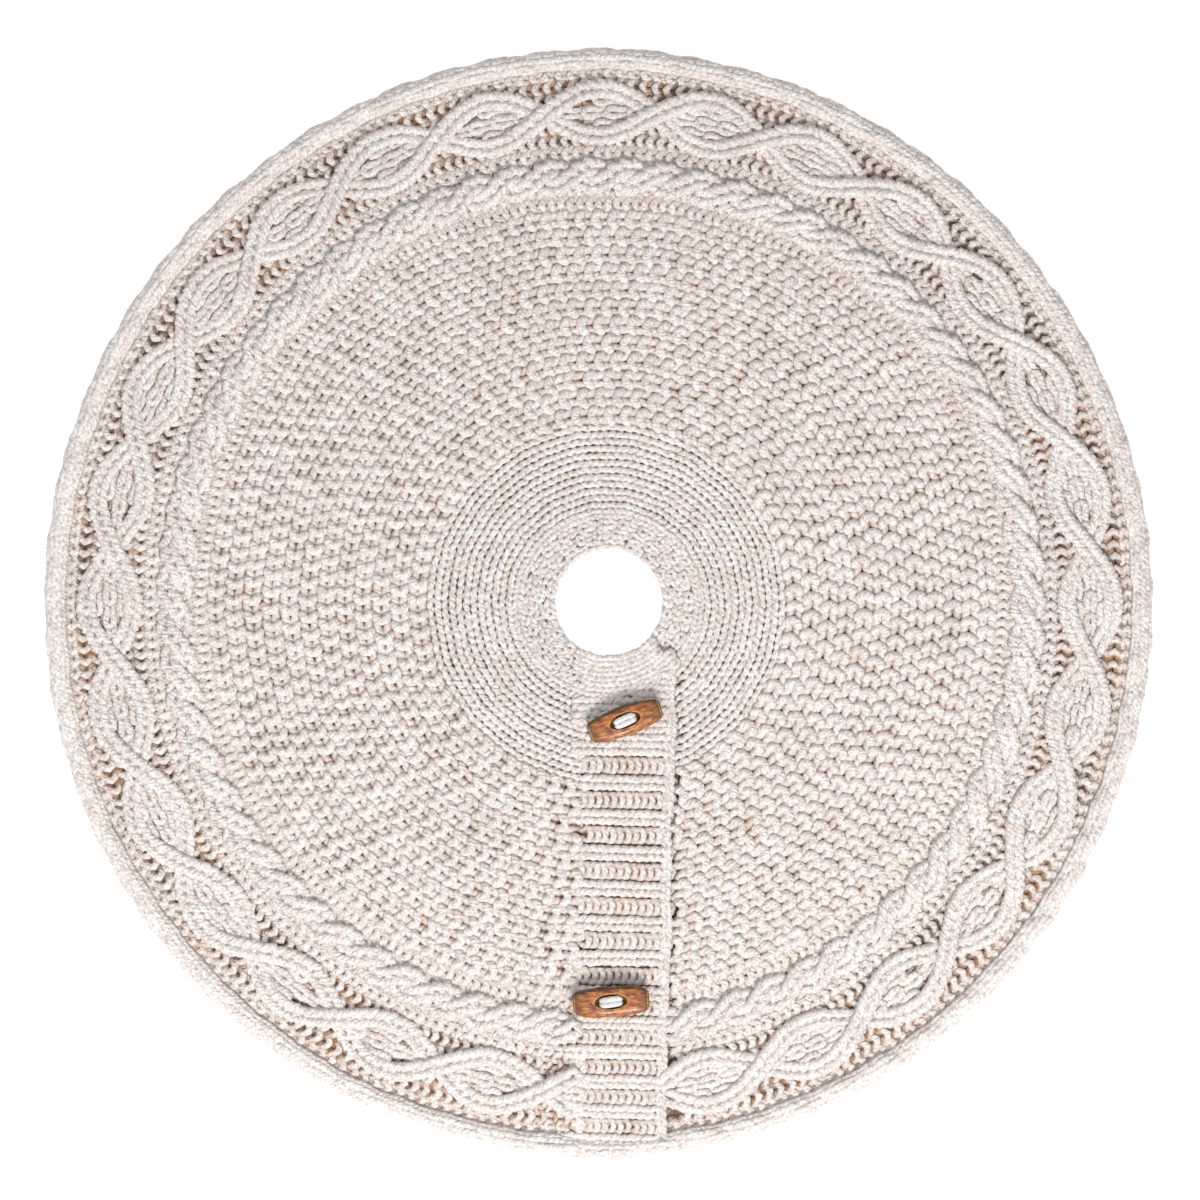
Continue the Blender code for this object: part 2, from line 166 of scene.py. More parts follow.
class Graph:
    """The node tree of one material, with its Principled shader."""

    def __init__(self, name: str) -> None:
        """Makes a material with a Principled shader.

        Args:
            name: The material's name.
        """
        self.material = bpy.data.materials.new(name)
        self.material.use_nodes = True
        self.tree = self.material.node_tree
        self.shader = self.tree.nodes["Principled BSDF"]

    def node(self, kind: str, settings: dict[str, object], sockets: dict[object, object]) -> bpy.types.Node:
        """Adds a node of any type.

        Args:
            kind: The node's type name.
            settings: Its properties, set before its sockets; "stops" fills a colour ramp.
            sockets: Numbers, colours, outputs or Values for its inputs, by name or index.

        Returns:
            The node.
        """
        made = self.tree.nodes.new(kind)
        for key, setting in settings.items():
            if key == "stops":
                self._fill_ramp(made.color_ramp, setting)
            else:
                setattr(made, key, setting)
        self._feed(made, sockets)
        return made

    def _feed(self, node: bpy.types.Node, sockets: dict[object, object]) -> None:
        """Fills a node's inputs, by name or index."""
        for key, given in sockets.items():
            self._join(node.inputs[key], given)

    def dress(self, sockets: dict[object, object]) -> None:
        """Fills the shader's inputs, by name."""
        self._feed(self.shader, sockets)

    def _fill_ramp(self, ramp: bpy.types.ColorRamp, stops: Sequence[tuple[float, Colour]]) -> None:
        """Gives a colour ramp its stops.

        Args:
            ramp: The ramp, with its two first stops.
            stops: Places from 0 to 1 with their colours, at least two.
        """
        while len(ramp.elements) < len(stops):
            ramp.elements.new(0.5)
        for element, (place, colour) in zip(ramp.elements, stops):
            element.position = place
            element.color = (*colour, 1)

    def _join(self, socket: bpy.types.NodeSocket, given: object) -> None:
        """Links an output to an input, or sets the input's own value.

        Args:
            socket: The input.
            given: A Value, an output socket, a number or a colour.
        """
        if isinstance(given, Value):
            self.tree.links.new(given.socket, socket)
        elif isinstance(given, bpy.types.NodeSocket):
            self.tree.links.new(given, socket)
        elif socket.type == "RGBA" and len(given) == 3:
            socket.default_value = (*given, 1)
        else:
            socket.default_value = given

    def value(self, kind: str, settings: dict[str, object], sockets: dict[object, object]) -> Value:
        """Adds a node and wraps its first output as a number."""
        return Value(self, self.node(kind, settings, sockets).outputs[0])

    def noise(self, vector: object, scale: float, detail: float = 2.0) -> Value:
        """A noise from 0 to 1.

        Args:
            vector: Where to read it.
            scale: How many bumps fit in one unit of the vector.
            detail: How many finer octaves it has.

        Returns:
            The noise.
        """
        sockets = {"Vector": vector, "Scale": scale, "Detail": detail}
        return self.value("ShaderNodeTexNoise", {}, sockets)

    def mix(self, share: object, first: object, second: object, blend: str = "MIX") -> bpy.types.NodeSocket:
        """Mixes two colours.

        Args:
            share: How much of the second colour, from 0 to 1.
            first: A colour or an output.
            second: A colour or an output.
            blend: The blend type.

        Returns:
            The mixed colour's socket.
        """
        settings = {"data_type": "RGBA", "blend_type": blend}
        made = self.node("ShaderNodeMix", settings, {0: share, 6: first, 7: second})
        return made.outputs[2]

    def scaled(self, vector: object, factors: Triple) -> bpy.types.NodeSocket:
        """A vector stretched along each axis."""
        sockets = {"Vector": vector, "Scale": factors}
        return self.node("ShaderNodeMapping", {}, sockets).outputs[0]

    def attribute(self, name: str) -> Value:
        """A number that the mesh holds at each point."""
        made = self.node("ShaderNodeAttribute", {"attribute_name": name}, {})
        return Value(self, made.outputs["Fac"])

    def bump(self, height: Value, distance: float, strength: float = 1.0) -> None:
        """Feeds a Bump node to the shader's normal.

        Args:
            height: The relief, from about 0 to 1.
            distance: Its depth in metres.
            strength: How much of it shows.
        """
        sockets = {"Height": height, "Distance": distance, "Strength": strength}
        self.dress({"Normal": self.node("ShaderNodeBump", {}, sockets).outputs[0]})


@dataclass(frozen=True)
class WoolFinish:
    """Soft spun yarn: plies that wind round it, loose fibres, and a warm painted shade deep between the
    stitches.
    """

    name: str
    lit: Colour = (0.87, 0.81, 0.765)
    pale: Colour = (0.97, 0.92, 0.885)
    # Painted shade: the code darkens the yarn towards tan, then towards deep and the orange-brown below, the
    # nearer a point lies to the cloth's middle.
    tan: Colour = (0.66, 0.555, 0.48)
    deep: Colour = (0.17, 0.10, 0.065)
    orange_shade: Colour = (0.36, 0.18, 0.075)
    deep_from: float = 0.0
    deep_to: float = 0.8
    plies: float = 3.0
    ply_depth: float = 0.0011
    wave_scale: float = 260.0
    fluff_scale: float = 1500.0
    lump_scale: float = 55.0
    fleck_scale: float = 420.0
    patch_scale: float = 16.0
    fibre_stretch: Triple = (5.0, 26.0, 1.0)
    roughness: float = 0.95
    shine: float = 0.15
    sheen: float = 0.15

    def build(self) -> bpy.types.Material:
        """Makes the material.

        Returns:
            A material that reads the yarn's own UV map and its height and tone attributes.
        """
        graph = Graph(self.name)
        places = graph.node("ShaderNodeTexCoord", {}, {})
        separate = graph.node("ShaderNodeSeparateXYZ", {}, {0: places.outputs["UV"]})
        along = Value(graph, separate.outputs[0])
        around = Value(graph, separate.outputs[1])
        spot = places.outputs["Object"]
        waviness = graph.noise(spot, self.wave_scale)
        winding = ((along + around) * self.plies + waviness * 0.5) * math.tau
        ply = winding.sine() * 0.5 + 0.5
        strand = graph.scaled(places.outputs["UV"], self.fibre_stretch)
        fibres = graph.noise(strand, 2.2, 3.0)
        fluff = graph.noise(spot, self.fluff_scale, 3.0)
        # The height attribute sets the painted shade: points low between the stitches are painted tan and
        # dark brown, raised ones keep the yarn's colour.
        height = graph.attribute("height").between(self.deep_from, self.deep_to)
        lump = graph.noise(spot, self.lump_scale)
        fleck = graph.noise(spot, self.fleck_scale, 3.0)
        tone = graph.attribute("tone")
        body = graph.mix((lump * 0.6 + tone * 0.4).between(0.25, 0.8), self.lit, self.pale)
        body = graph.mix(fleck.between(0.35, 0.62), graph.mix(0.34, body, self.deep), body)
        shade = height * (0.80 + ply * 0.20) * (0.80 + fibres * 0.34)
        # Painted shade colour: dark brown with orange-brown patches, then tan higher up.
        warm = graph.mix(graph.noise(spot, self.patch_scale).between(0.45, 0.62), self.deep, self.orange_shade)
        low = graph.mix(shade.between(0.0, 0.42), warm, self.tan)
        colour = graph.mix(shade.between(0.25, 0.85), low, body)
        graph.dress({
            "Base Color": colour, "Roughness": self.roughness, "Specular IOR Level": self.shine,
            "Sheen Weight": self.sheen, "Sheen Roughness": 0.5,
        })
        graph.bump(ply * 0.45 + fibres * 0.4 + fluff * 0.4 + fleck * 0.8, self.ply_depth)
        return graph.material


@dataclass(frozen=True)
class GapShadeFinish:
    """Painted shade: a dark sheet at the cloth's middle, which shows only as dark points between the
    stitches.
    """

    name: str
    dark: Colour = (0.09, 0.050, 0.030)
    warm: Colour = (0.22, 0.125, 0.07)
    back: Colour = (0.62, 0.53, 0.46)
    patch_scale: float = 45.0
    fibre_scale: float = 1400.0
    fibre_depth: float = 0.0005

    def build(self) -> bpy.types.Material:
        """Makes the material.

        Returns:
            A rough dark brown of painted shade on the upper side, varying over a few centimetres, pale on
            the underside, with a fine relief.
        """
        graph = Graph(self.name)
        spot = graph.node("ShaderNodeTexCoord", {}, {}).outputs["Object"]
        patches = graph.noise(spot, self.patch_scale, 3.0)
        fibres = graph.noise(spot, self.fibre_scale)
        colour = graph.mix(patches.between(0.3, 0.7), self.dark, self.warm)
        # The upper side is painted dark as shade; the underside is paler.
        colour = graph.mix(graph.attribute("top"), self.back, colour)
        graph.dress({"Base Color": colour, "Roughness": 1.0, "Specular IOR Level": 0.0})
        graph.bump(fibres, self.fibre_depth)
        return graph.material


@dataclass(frozen=True)
class WoodFinish:
    """Varnished orange-brown wood: grain along the bar and darker ends, with painted gold highlights on its
    upper edges and painted shade in its pocket, its holes and its shaded sides.
    """

    name: str
    light: Colour = (0.47, 0.155, 0.018)
    middle: Colour = (0.24, 0.056, 0.008)
    dark: Colour = (0.020, 0.007, 0.003)
    gold: Colour = (0.84, 0.44, 0.08)
    grain_stretch: Triple = (2.2, 16.0, 1.0)
    blotch_stretch: Triple = (4.0, 6.0, 1.0)
    coat: float = 0.35
    coat_roughness: float = 0.22
    relief: float = 0.0012

    def build(self) -> bpy.types.Material:
        """Makes the material.

        Returns:
            A glossy material that reads the bar's own UV map, its edge attribute of painted highlight and
            its attribute of painted shade.
        """
        graph = Graph(self.name)
        places = graph.node("ShaderNodeTexCoord", {}, {})
        separate = graph.node("ShaderNodeSeparateXYZ", {}, {0: places.outputs["UV"]})
        along = Value(graph, separate.outputs[0])
        grain = graph.noise(graph.scaled(places.outputs["UV"], self.grain_stretch), 3.0, 6.0)
        blotch = graph.noise(graph.scaled(places.outputs["UV"], self.blotch_stretch), 2.2, 4.0)
        stops = [(0.36, self.dark), (0.46, self.middle), (0.55, self.light), (0.70, self.gold)]
        ramp = graph.node("ShaderNodeValToRGB", {"stops": stops}, {0: grain * 0.48 + blotch * 0.52})
        ends = ((along - 0.5).absolute() + blotch * 0.16).between(0.40, 0.60)
        colour = graph.mix(ends * 0.8, ramp.outputs[0], self.dark)
        # Painted highlight: gold where the edge attribute marks the bar's upper edges, ends and pocket lip.
        edge_highlight = graph.attribute("edge") * (0.55 + blotch * 0.6)
        colour = graph.mix(edge_highlight.between(0.25, 0.9) * 0.8, colour, self.gold)
        # Painted shade: near black in the pocket and holes, on the lower sides and on the side away from the
        # key light.
        painted_shade = graph.attribute("painted_shade")
        colour = graph.mix(painted_shade.between(0.15, 0.85) * 0.85, colour, self.dark)
        graph.dress({
            "Base Color": colour, "Roughness": 0.36 + grain * 0.22, "Coat Weight": self.coat,
            "Coat Roughness": self.coat_roughness,
        })
        graph.bump(grain * 0.5 + blotch * 1.4, self.relief, 0.8)
        return graph.material


@dataclass(frozen=True)
class PlainFinish:
    """A matt studio floor."""

    name: str
    colour: Colour
    glow: float = 0.5
    unevenness: float = 0.015

    def build(self) -> bpy.types.Material:
        """Makes the material.

        Returns:
            A pale matt surface with a very faint unevenness.
        """
        graph = Graph(self.name)
        spot = graph.node("ShaderNodeTexCoord", {}, {}).outputs["Object"]
        tint = tuple(share * (1 - self.unevenness) for share in self.colour)
        graph.dress({
            "Base Color": graph.mix(graph.noise(spot, 3.0), self.colour, tint), "Roughness": 0.9,
            "Emission Color": (1, 1, 1), "Emission Strength": self.glow,
        })
        return graph.material


# Yarn.


class Face(Enum):
    """Which side of a stitch looks up."""

    KNIT = 1
    PURL = -1


@dataclass(frozen=True)
class Loop:
    """The path of one stitch's yarn: up one leg, over the head and down the other leg.

    Widths are shares of the wale, heights are shares of the course, and depth is in metres.
    """

    lean: float = 0.2
    rise: float = 0.95
    knit_rise: float = 0.95
    depth: float = 0.0018
    foot: float = -1.2
    knit_width: float = 1.0
    purl_width: float = 1.0
    purl_depth: float = 1.0
    points: int = 11

    def path(self, face: Face, ahead: Face) -> np.ndarray:
        """The stitch's path.

        Args:
            face: The side that looks up.
            ahead: The side that the next course's stitch shows, which hides or bares this one's head.

        Returns:
            An array of (across, along, up), the last one in metres.
        """
        turn = np.linspace(0, math.tau, self.points)
        knit = face is Face.KNIT
        width = self.knit_width if knit else self.purl_width
        rise = self.knit_rise if knit else self.rise
        across = (turn / math.tau - 0.5 + self.lean * np.sin(2 * turn)) * width
        ends = np.cos(turn) ** 2
        head = ends * (np.cos(turn) < 0)
        sunk = {Face.KNIT: 1.0, Face.PURL: -self.purl_depth}
        up = (1 - ends) * sunk[face] - head * sunk[ahead] + (ends - head) * self.foot
        return np.stack([across, -rise * np.cos(turn), up * self.depth], axis=1)


@dataclass(frozen=True)
class Spot:
    """Where one stitch goes: its middle, its width and height as vectors, and the sides that show."""

    centre: Vector
    across: Vector
    along: Vector
    face: Face = Face.KNIT
    ahead: Face = Face.KNIT


@dataclass(frozen=True)
class Yarn:
    """How thick a yarn is, how it winds and how its lengths end."""

    radius: float
    rounds: int = 2
    twist: float = 0.011
    plump: float = 0.12
    ends: float = 0.45


CABLE_GROUND_YARN = Yarn(0.0032, rounds=1)


class YarnWork:
    """Many short lengths of yarn, which become one mesh."""

    def __init__(self, name: str, yarn: Yarn) -> None:
        """Starts a piece.

        Args:
            name: The piece's name.
            yarn: The yarn it is made of.
        """
        self.name = name
        self.yarn = yarn
        self.lengths: list[np.ndarray] = []
        self.widths: list[float] = []

    def add(self, path: np.ndarray, width: float = 1.0) -> None:
        """Lays one length of yarn.

        Args:
            path: Its points, as many as in every other length of the piece.
            width: Its thickness as a share of the usual one.
        """
        self.lengths.append(path)
        self.widths.append(width)

    def build(self, middle: Field, spread: float, wool: bpy.types.Material) -> bpy.types.Object:
        """Winds the yarn round its paths.

        Args:
            middle: The height of the cloth's middle at each x and y.
            spread: The height over the cloth's middle at which the height attribute is 1.
            wool: The material.

        Returns:
            The mesh object.
        """
        curve = bpy.data.curves.new(self.name, "CURVE")
        curve.dimensions = "3D"
        curve.bevel_depth = 1.0
        curve.bevel_resolution = self.yarn.rounds
        curve.use_fill_caps = True
        points = len(self.lengths[0])
        stage = np.linspace(0, 1, points)
        taper = 1 - (1 - self.yarn.ends) * np.abs(2 * stage - 1) ** 6
        taper = taper * (1 + self.yarn.plump * np.sin(stage * math.pi) ** 2) * self.yarn.radius
        for path, width in zip(self.lengths, self.widths):
            spline = curve.splines.new("POLY")
            spline.points.add(points - 1)
            spline.points.foreach_set("co", np.insert(path, 3, 1.0, axis=1).ravel())
            spline.points.foreach_set("radius", taper * width)
        shaped = bpy.data.objects.new(self.name, curve)
        bpy.context.scene.collection.objects.link(shaped)
        bpy.context.view_layer.update()
        mesh = bpy.data.meshes.new_from_object(shaped)
        bpy.data.objects.remove(shaped)
        bpy.data.curves.remove(curve)
        mesh.name = self.name
        self._mark(mesh, middle, spread)
        mesh.materials.clear()
        mesh.materials.append(wool)
        mesh.shade_smooth()
        obj = bpy.data.objects.new(self.name, mesh)
        bpy.context.scene.collection.objects.link(obj)
        return obj

    def _mark(self, mesh: bpy.types.Mesh, middle: Field, spread: float) -> None:
        """Stores each point's height and each length's tone, and stretches the UV map to the yarn's twist.

        Args:
            mesh: The mesh.
            middle: The height of the cloth's middle at each x and y.
            spread: The height at which the height attribute is 1.
        """
        count = len(self.lengths)
        places = np.zeros(len(mesh.vertices) * 3, np.float32)
        mesh.vertices.foreach_get("co", places)
        # Height over the cloth's middle, which the wool turns into painted shade.
        heights = np.abs(places[2::3] - middle(places[0::3], places[1::3])) / spread
        rng = np.random.default_rng(SEED + count)
        tones = np.repeat(rng.random(count), len(mesh.vertices) // count)
        for name, values in (("height", heights), ("tone", tones)):
            layer = mesh.attributes.new(name, "FLOAT", "POINT")
            layer.data.foreach_set("value", values.astype(np.float32))
        corners = mesh.uv_layers[0].data
        uv = np.zeros(len(corners) * 2, np.float32)
        corners.foreach_get("uv", uv)
        runs = [np.linalg.norm(np.diff(path, axis=0), axis=1).sum() for path in self.lengths]
        turns = np.array(runs) / self.yarn.twist
        each = len(corners) // count
        uv[0::2] = uv[0::2] * np.repeat(turns, each) + np.repeat(rng.random(count), each)
        corners.foreach_set("uv", uv)


# Where things are.


@dataclass(frozen=True)
class Ring:
    """One round zone of the cloth: its inner and outer radius."""

    inner: float
    outer: float


class Plan:
    """The skirt's layout, read from the frame."""

    def __init__(self) -> None:
        """Reads the rings' radii, the closure's frame and the joints."""
        names = (
            "inner_collar", "stockinette_yoke", "moss_field", "rope_gutter", "rope_cable",
            "cable_channel", "diamond_cable", "hem_gutter", "hem_roll",
        )
        self.joints = {joint["name"]: joint for joint in frame["joints"]}
        outers = [self._across(name)[0] for name in names]
        self.hole_x = self._hole_centre()
        self.hole_radius = self._hole_radius()
        self.rim_radius = outers[-1]
        inners = [self.hole_radius, *outers[:-1]]
        self.rings = {name: Ring(a, b) for name, a, b in zip(names, inners, outers)}
        lift = self.joints["overlap_lift"]
        down = Vector(lift["axis"][:2])
        self.turn = math.atan2(down.x, -down.y)
        self.hinge = Vector(lift["pos_m"])
        self.band_left = self.local(self.hinge.x, self.hinge.y)[0]
        self.band_right = self._band_right()
        self.underlap_left = self._underlap_left()
        self.lap_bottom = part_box("overlap_middle")[0].z
        self.underlap_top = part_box("underlap_band")[1].z

    def _across(self, node: str) -> tuple[float, float]:
        """A ring's outer radius and the x of its middle.

        Args:
            node: The ring's name in the frame.

        Returns:
            The radius and the x.
        """
        low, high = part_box(node)
        return (high.x - low.x) / 2, (high.x + low.x) / 2

    def _hole_centre(self) -> float:
        """The x of the trunk hole's middle, from the way the rings' middles move inwards.

        Returns:
            The x.
        """
        collar_radius, collar_x = self._across("inner_collar")
        rim_radius, rim_x = self._across("hem_roll")
        nodes = frame["nodes"]["inner_collar"].data.vertices
        radius = min(math.hypot(v.co.x - collar_x, v.co.y) for v in nodes)
        slope = (collar_x - rim_x) / (rim_radius - collar_radius)
        return collar_x + slope * (collar_radius - radius)

    def _hole_radius(self) -> float:
        """The trunk hole's radius: the collar's nearest point to the hole's middle."""
        nodes = frame["nodes"]["inner_collar"].data.vertices
        return min(math.hypot(v.co.x - self.hole_x, v.co.y) for v in nodes)

    def _band_right(self) -> float:
        """The overlap's free side, in the closure's frame."""
        nodes = frame["nodes"]["overlap_middle"].data.vertices
        return max(self.local(v.co.x, v.co.y)[0] for v in nodes)

    def _underlap_left(self) -> float:
        """The underlap's hidden side, in the closure's frame."""
        nodes = frame["nodes"]["underlap_band"].data.vertices
        return min(self.local(v.co.x, v.co.y)[0] for v in nodes)

    def local(self, x: float, y: float) -> tuple[float, float]:
        """A place in the closure's frame.

        Args:
            x: The world x, or an array.
            y: The world y, or an array.

        Returns:
            The closure's x and y.
        """
        cosine, sine = math.cos(self.turn), math.sin(self.turn)
        dx = x - self.hole_x
        return dx * cosine + y * sine, y * cosine - dx * sine

    def world(self, x: float, y: float) -> tuple[float, float]:
        """A place in the world, from the closure's frame.

        Args:
            x: The closure's x, or an array.
            y: The closure's y, or an array.

        Returns:
            The world x and y.
        """
        cosine, sine = math.cos(self.turn), math.sin(self.turn)
        return self.hole_x + x * cosine - y * sine, x * sine + y * cosine

    def shift(self, radius: float) -> float:
        """The x of a ring's middle at this radius."""
        return self.hole_x * (self.rim_radius - radius) / (self.rim_radius - self.hole_radius)

    def corner_y(self, x: float) -> float:
        """How far up the closure reaches at this x of its frame.

        Args:
            x: The closure's x.

        Returns:
            The closure's y.
        """
        corner = self.hole_radius * math.sqrt(0.5)
        return 0.0 if x < corner else -corner - 0.6 * (x - corner)

    def in_closure(self, x: float, y: float, margin: float = 0.0) -> bool:
        """Whether a place in the closure's frame is on the bands.

        Args:
            x: The closure's x.
            y: The closure's y.
            margin: How much wider the bands count on both sides.

        Returns:
            True on the bands.
        """
        inside = self.band_left - margin < x < self.band_right + 2 * MM + margin
        return inside and y < self.corner_y(x)

    def rim_y(self, x: float) -> float:
        """Where a line at this x of the closure's frame meets the rim.

        Args:
            x: The closure's x.

        Returns:
            The closure's y.
        """
        centre_x, centre_y = self.local(0.0, 0.0)
        return centre_y - math.sqrt(self.rim_radius ** 2 - (x - centre_x) ** 2)


def smooth(value: np.ndarray) -> np.ndarray:
    """A smooth step from 0 to 1 over 0 to 1."""
    held = np.clip(value, 0, 1)
    return held * held * (3 - 2 * held)


@dataclass
class Cloth:
    """The shape that the cloth lies in: flat, and raised where it climbs over the underlap."""

    plan: Plan
    ramp: float = 0.032
    climb: float = 0.0055

    def lift(self, x: float, y: float) -> float:
        """How far the left side has climbed towards the overlap.

        Args:
            x: The closure's x, or an array.
            y: The closure's y, or an array.

        Returns:
            The height in metres.
        """
        near = smooth((x - self.plan.band_left + self.ramp) / self.ramp)
        left = near * (x < self.plan.band_left + 1 * MM)
        below = smooth((-y - 0.4 * self.plan.hole_radius) / (0.5 * self.plan.hole_radius))
        return self.climb * left * below


# Knitting.


@dataclass
class Knitter:
    """Sets stitches one by one, each a little out of true."""

    plan: Plan
    cloth: Cloth
    rng: random.Random
    jitter: float = 0.0004
    sway: float = 0.0011
    sway_scale: float = 14.0
    tilt: float = 0.07
    spread: float = 0.0045

    def knit(
        self, name: str, spots: Iterable[Spot], yarn: Yarn, loop: Loop, middle: float,
        wool: bpy.types.Material, flat: bool = False,
    ) -> bpy.types.Object:
        """Knits one piece.

        Args:
            name: The piece's name.
            spots: Where its stitches go.
            yarn: The yarn.
            loop: The shape of its stitches.
            middle: The height of the cloth's middle where it lies flat, from which the painted shade is
                measured.
            wool: The yarn's material.
            flat: Whether the painted shade takes the cloth as lying flat even beside the closure, with its
                free side left pale.

        Returns:
            The piece.
        """
        work = YarnWork(name, yarn)
        for spot in spots:
            path = loop.path(spot.face, spot.ahead)
            lean = Matrix.Rotation(self.rng.uniform(-self.tilt, self.tilt), 3, "Z")
            across, along = lean @ spot.across, lean @ spot.along
            normal = spot.across.cross(spot.along).normalized()
            sway = noise.noise_vector(spot.centre * self.sway_scale) * self.sway
            shake = Vector([self.rng.uniform(-self.jitter, self.jitter) for _ in range(3)])
            origin = spot.centre + Vector((sway.x, sway.y, 0)) + shake
            axes = np.array([across, along, normal])
            work.add(path @ axes + np.array(origin), self.rng.uniform(0.93, 1.07))
        return work.build(self._middle(middle, flat), self.spread, wool)

    def _middle(self, height: float, flat: bool) -> Field:
        """The height of the cloth's middle, even or climbing towards the overlap.

        Args:
            height: The height where the cloth lies flat.
            flat: Whether it stays even beside the closure.

        Returns:
            The height at each x and y; far below the cloth at its free edges, so that the painted shade
            leaves them pale.
        """
        plan = self.plan

        def at(x: np.ndarray, y: np.ndarray) -> np.ndarray:
            """The height of the cloth's middle.

            Args:
                x: Each place's x.
                y: Each place's y.

            Returns:
                The heights.
            """
            lx, ly = plan.local(x, y)
            at_hole = np.hypot(lx, ly) < plan.hole_radius + EDGE_ZONE
            at_rim = np.hypot(x, y) > plan.rim_radius - 2 * EDGE_ZONE
            at_side = flat & (lx > plan.band_right - EDGE_ZONE)
            lift = 0 if flat else self.cloth.lift(lx, ly)
            return height + lift - FAR_BELOW * (at_hole | at_rim | at_side)

        return at


# The patterns: each says which side the stitch of a wale and a course shows.


def all_knit(wale: int, course: int) -> Face:
    """Every stitch shows its smooth side."""
    return Face.KNIT


def all_purl(wale: int, course: int) -> Face:
    """Every stitch shows its bump."""
    return Face.PURL


def moss(wale: int, course: int) -> Face:
    """Knit and purl change places at every stitch."""
    return Face.KNIT if (wale + course) % 2 else Face.PURL


def collar(wale: int, course: int) -> Face:
    """A smooth outer wale, and pebbles towards the hole."""
    return Face.PURL if (wale < 3 and (course + wale) % 3 == 0) else Face.KNIT


@dataclass
class RingZone:
    """A zone of plain knitting that runs round the skirt, with a slight corner where each wedge starts."""

    node: str
    courses: tuple[int, ...]
    middle: float
    pattern: Callable[[int, int], Face]
    in_lap: bool = False

    def _place(self, plan: Plan, radius: float, angle: float) -> Vector:
        """A point on a wale.

        Args:
            plan: The skirt's layout.
            radius: The wale's radius.
            angle: The angle round the skirt.

        Returns:
            The point, at height 0.
        """
        wedge = math.tau / WEDGES
        from_middle = ((angle / wedge) % 1.0 - 0.5) * wedge
        bow = WEDGE_BOW * (math.cos(from_middle) - math.cos(wedge / 2))
        flat = radius * (1 - bow) if radius < BOW_REACH * plan.rim_radius else radius
        return Vector((plan.shift(radius) + flat * math.cos(angle), flat * math.sin(angle), 0))

    def spots(self, plan: Plan, cloth: Cloth, orders: range | None = None) -> Iterator[Spot]:
        """Where the zone's stitches go.

        Args:
            plan: The skirt's layout.
            cloth: The shape that the cloth lies in.
            orders: Which wales, from the inner one; all of them when left out.

        Yields:
            Each stitch's spot, outside the closure or in it.
        """
        ring = plan.rings[self.node]
        width = (ring.outer - ring.inner) / len(self.courses)
        for order in orders or range(len(self.courses)):
            radius = ring.inner + (order + 0.5) * width
            count = WEDGES * self.courses[order]
            for index in range(count):
                angle = math.tau * (index + 0.5) / count - math.pi / 2
                half = math.pi / count
                here = self._place(plan, radius, angle)
                local = plan.local(here.x, here.y)
                if plan.in_closure(*local) is not self.in_lap:
                    continue
                along = self._place(plan, radius, angle + half) - self._place(plan, radius, angle - half)
                across = Vector((math.cos(angle), math.sin(angle), 0)) * width
                here.z = self.middle + (0 if self.in_lap else cloth.lift(*local))
                yield Spot(here, across, along, self.pattern(order, index), self.pattern(order, index + 1))


@dataclass
class CableBand:
    """Two strands of knit stitches that wind round each other along a ring."""

    node: str
    half_turns: int
    swing: float
    heave: float
    middle: float
    wale_width: float
    course: float = 0.0082

    def radius(self, plan: Plan) -> float:
        """The band's middle radius."""
        ring = plan.rings[self.node]
        return (ring.inner + ring.outer) / 2

    def offset(self, angle: float, strand: int) -> tuple[float, float]:
        """Where a strand is at an angle.

        Args:
            angle: The angle round the skirt.
            strand: 0 or 1.

        Returns:
            How far outside the band's middle it lies, and how far above.
        """
        turn = self.half_turns * angle / 2 + strand * math.pi
        return self.swing * math.cos(turn), self.heave * math.sin(turn)

    def _point(self, plan: Plan, angle: float, strand: int) -> Vector:
        """A point on a strand's middle line.

        Args:
            plan: The skirt's layout.
            angle: The angle round the skirt.
            strand: 0 or 1.

        Returns:
            The point, where the cloth lies flat.
        """
        out, up = self.offset(angle, strand)
        radius = self.radius(plan)
        x = plan.shift(radius) + (radius + out) * math.cos(angle)
        return Vector((x, (radius + out) * math.sin(angle), self.middle + up))

    def spots(self, plan: Plan, cloth: Cloth, strand: int) -> Iterator[Spot]:
        """Where the stitches of one strand go.

        Args:
            plan: The skirt's layout.
            cloth: The shape that the cloth lies in.
            strand: 0 or 1.

        Yields:
            Each stitch's spot.
        """
        radius = self.radius(plan)
        slope = math.hypot(1.0, self.swing * self.half_turns / 2 / radius * 0.7)
        count = round(math.tau * radius * slope / self.course)
        step = math.pi / count
        for index in range(count):
            angle = math.tau * (index + 0.5) / count - math.pi / 2
            here = self._point(plan, angle, strand)
            local = plan.local(here.x, here.y)
            if plan.in_closure(*local, -2 * MM):
                continue
            along = self._point(plan, angle + step, strand) - self._point(plan, angle - step, strand)
            across = along.cross(Vector((0, 0, 1))).normalized()
            yield Spot(here + Vector((0, 0, cloth.lift(*local))), across * self.wale_width, along)


@dataclass
class DiamondGround:
    """The wales behind the diamonds: purl outside them and moss inside, sunk below the strands."""

    cable: CableBand
    wales: int = 5
    courses: int = CABLE_COURSES
    middle: float = 0.0074
    sink: float = 0.0012
    strand_half: float = 0.006

    def spots(self, plan: Plan, cloth: Cloth) -> Iterator[Spot]:
        """Where the ground's stitches go.

        Args:
            plan: The skirt's layout.
            cloth: The shape that the cloth lies in.

        Yields:
            Each stitch's spot.
        """
        zone = RingZone(self.cable.node, (self.courses,) * self.wales, self.middle, moss)
        radius = self.cable.radius(plan)
        for spot in zone.spots(plan, cloth):
            x = spot.centre.x - plan.shift(radius)
            aside = abs(math.hypot(x, spot.centre.y) - radius)
            strand = abs(self.cable.offset(math.atan2(spot.centre.y, x), 0)[0])
            if aside < strand - self.strand_half:
                yield spot
            else:
                drop = Vector((0, 0, self.sink))
                yield Spot(spot.centre - drop, spot.across, spot.along, Face.PURL, Face.PURL)


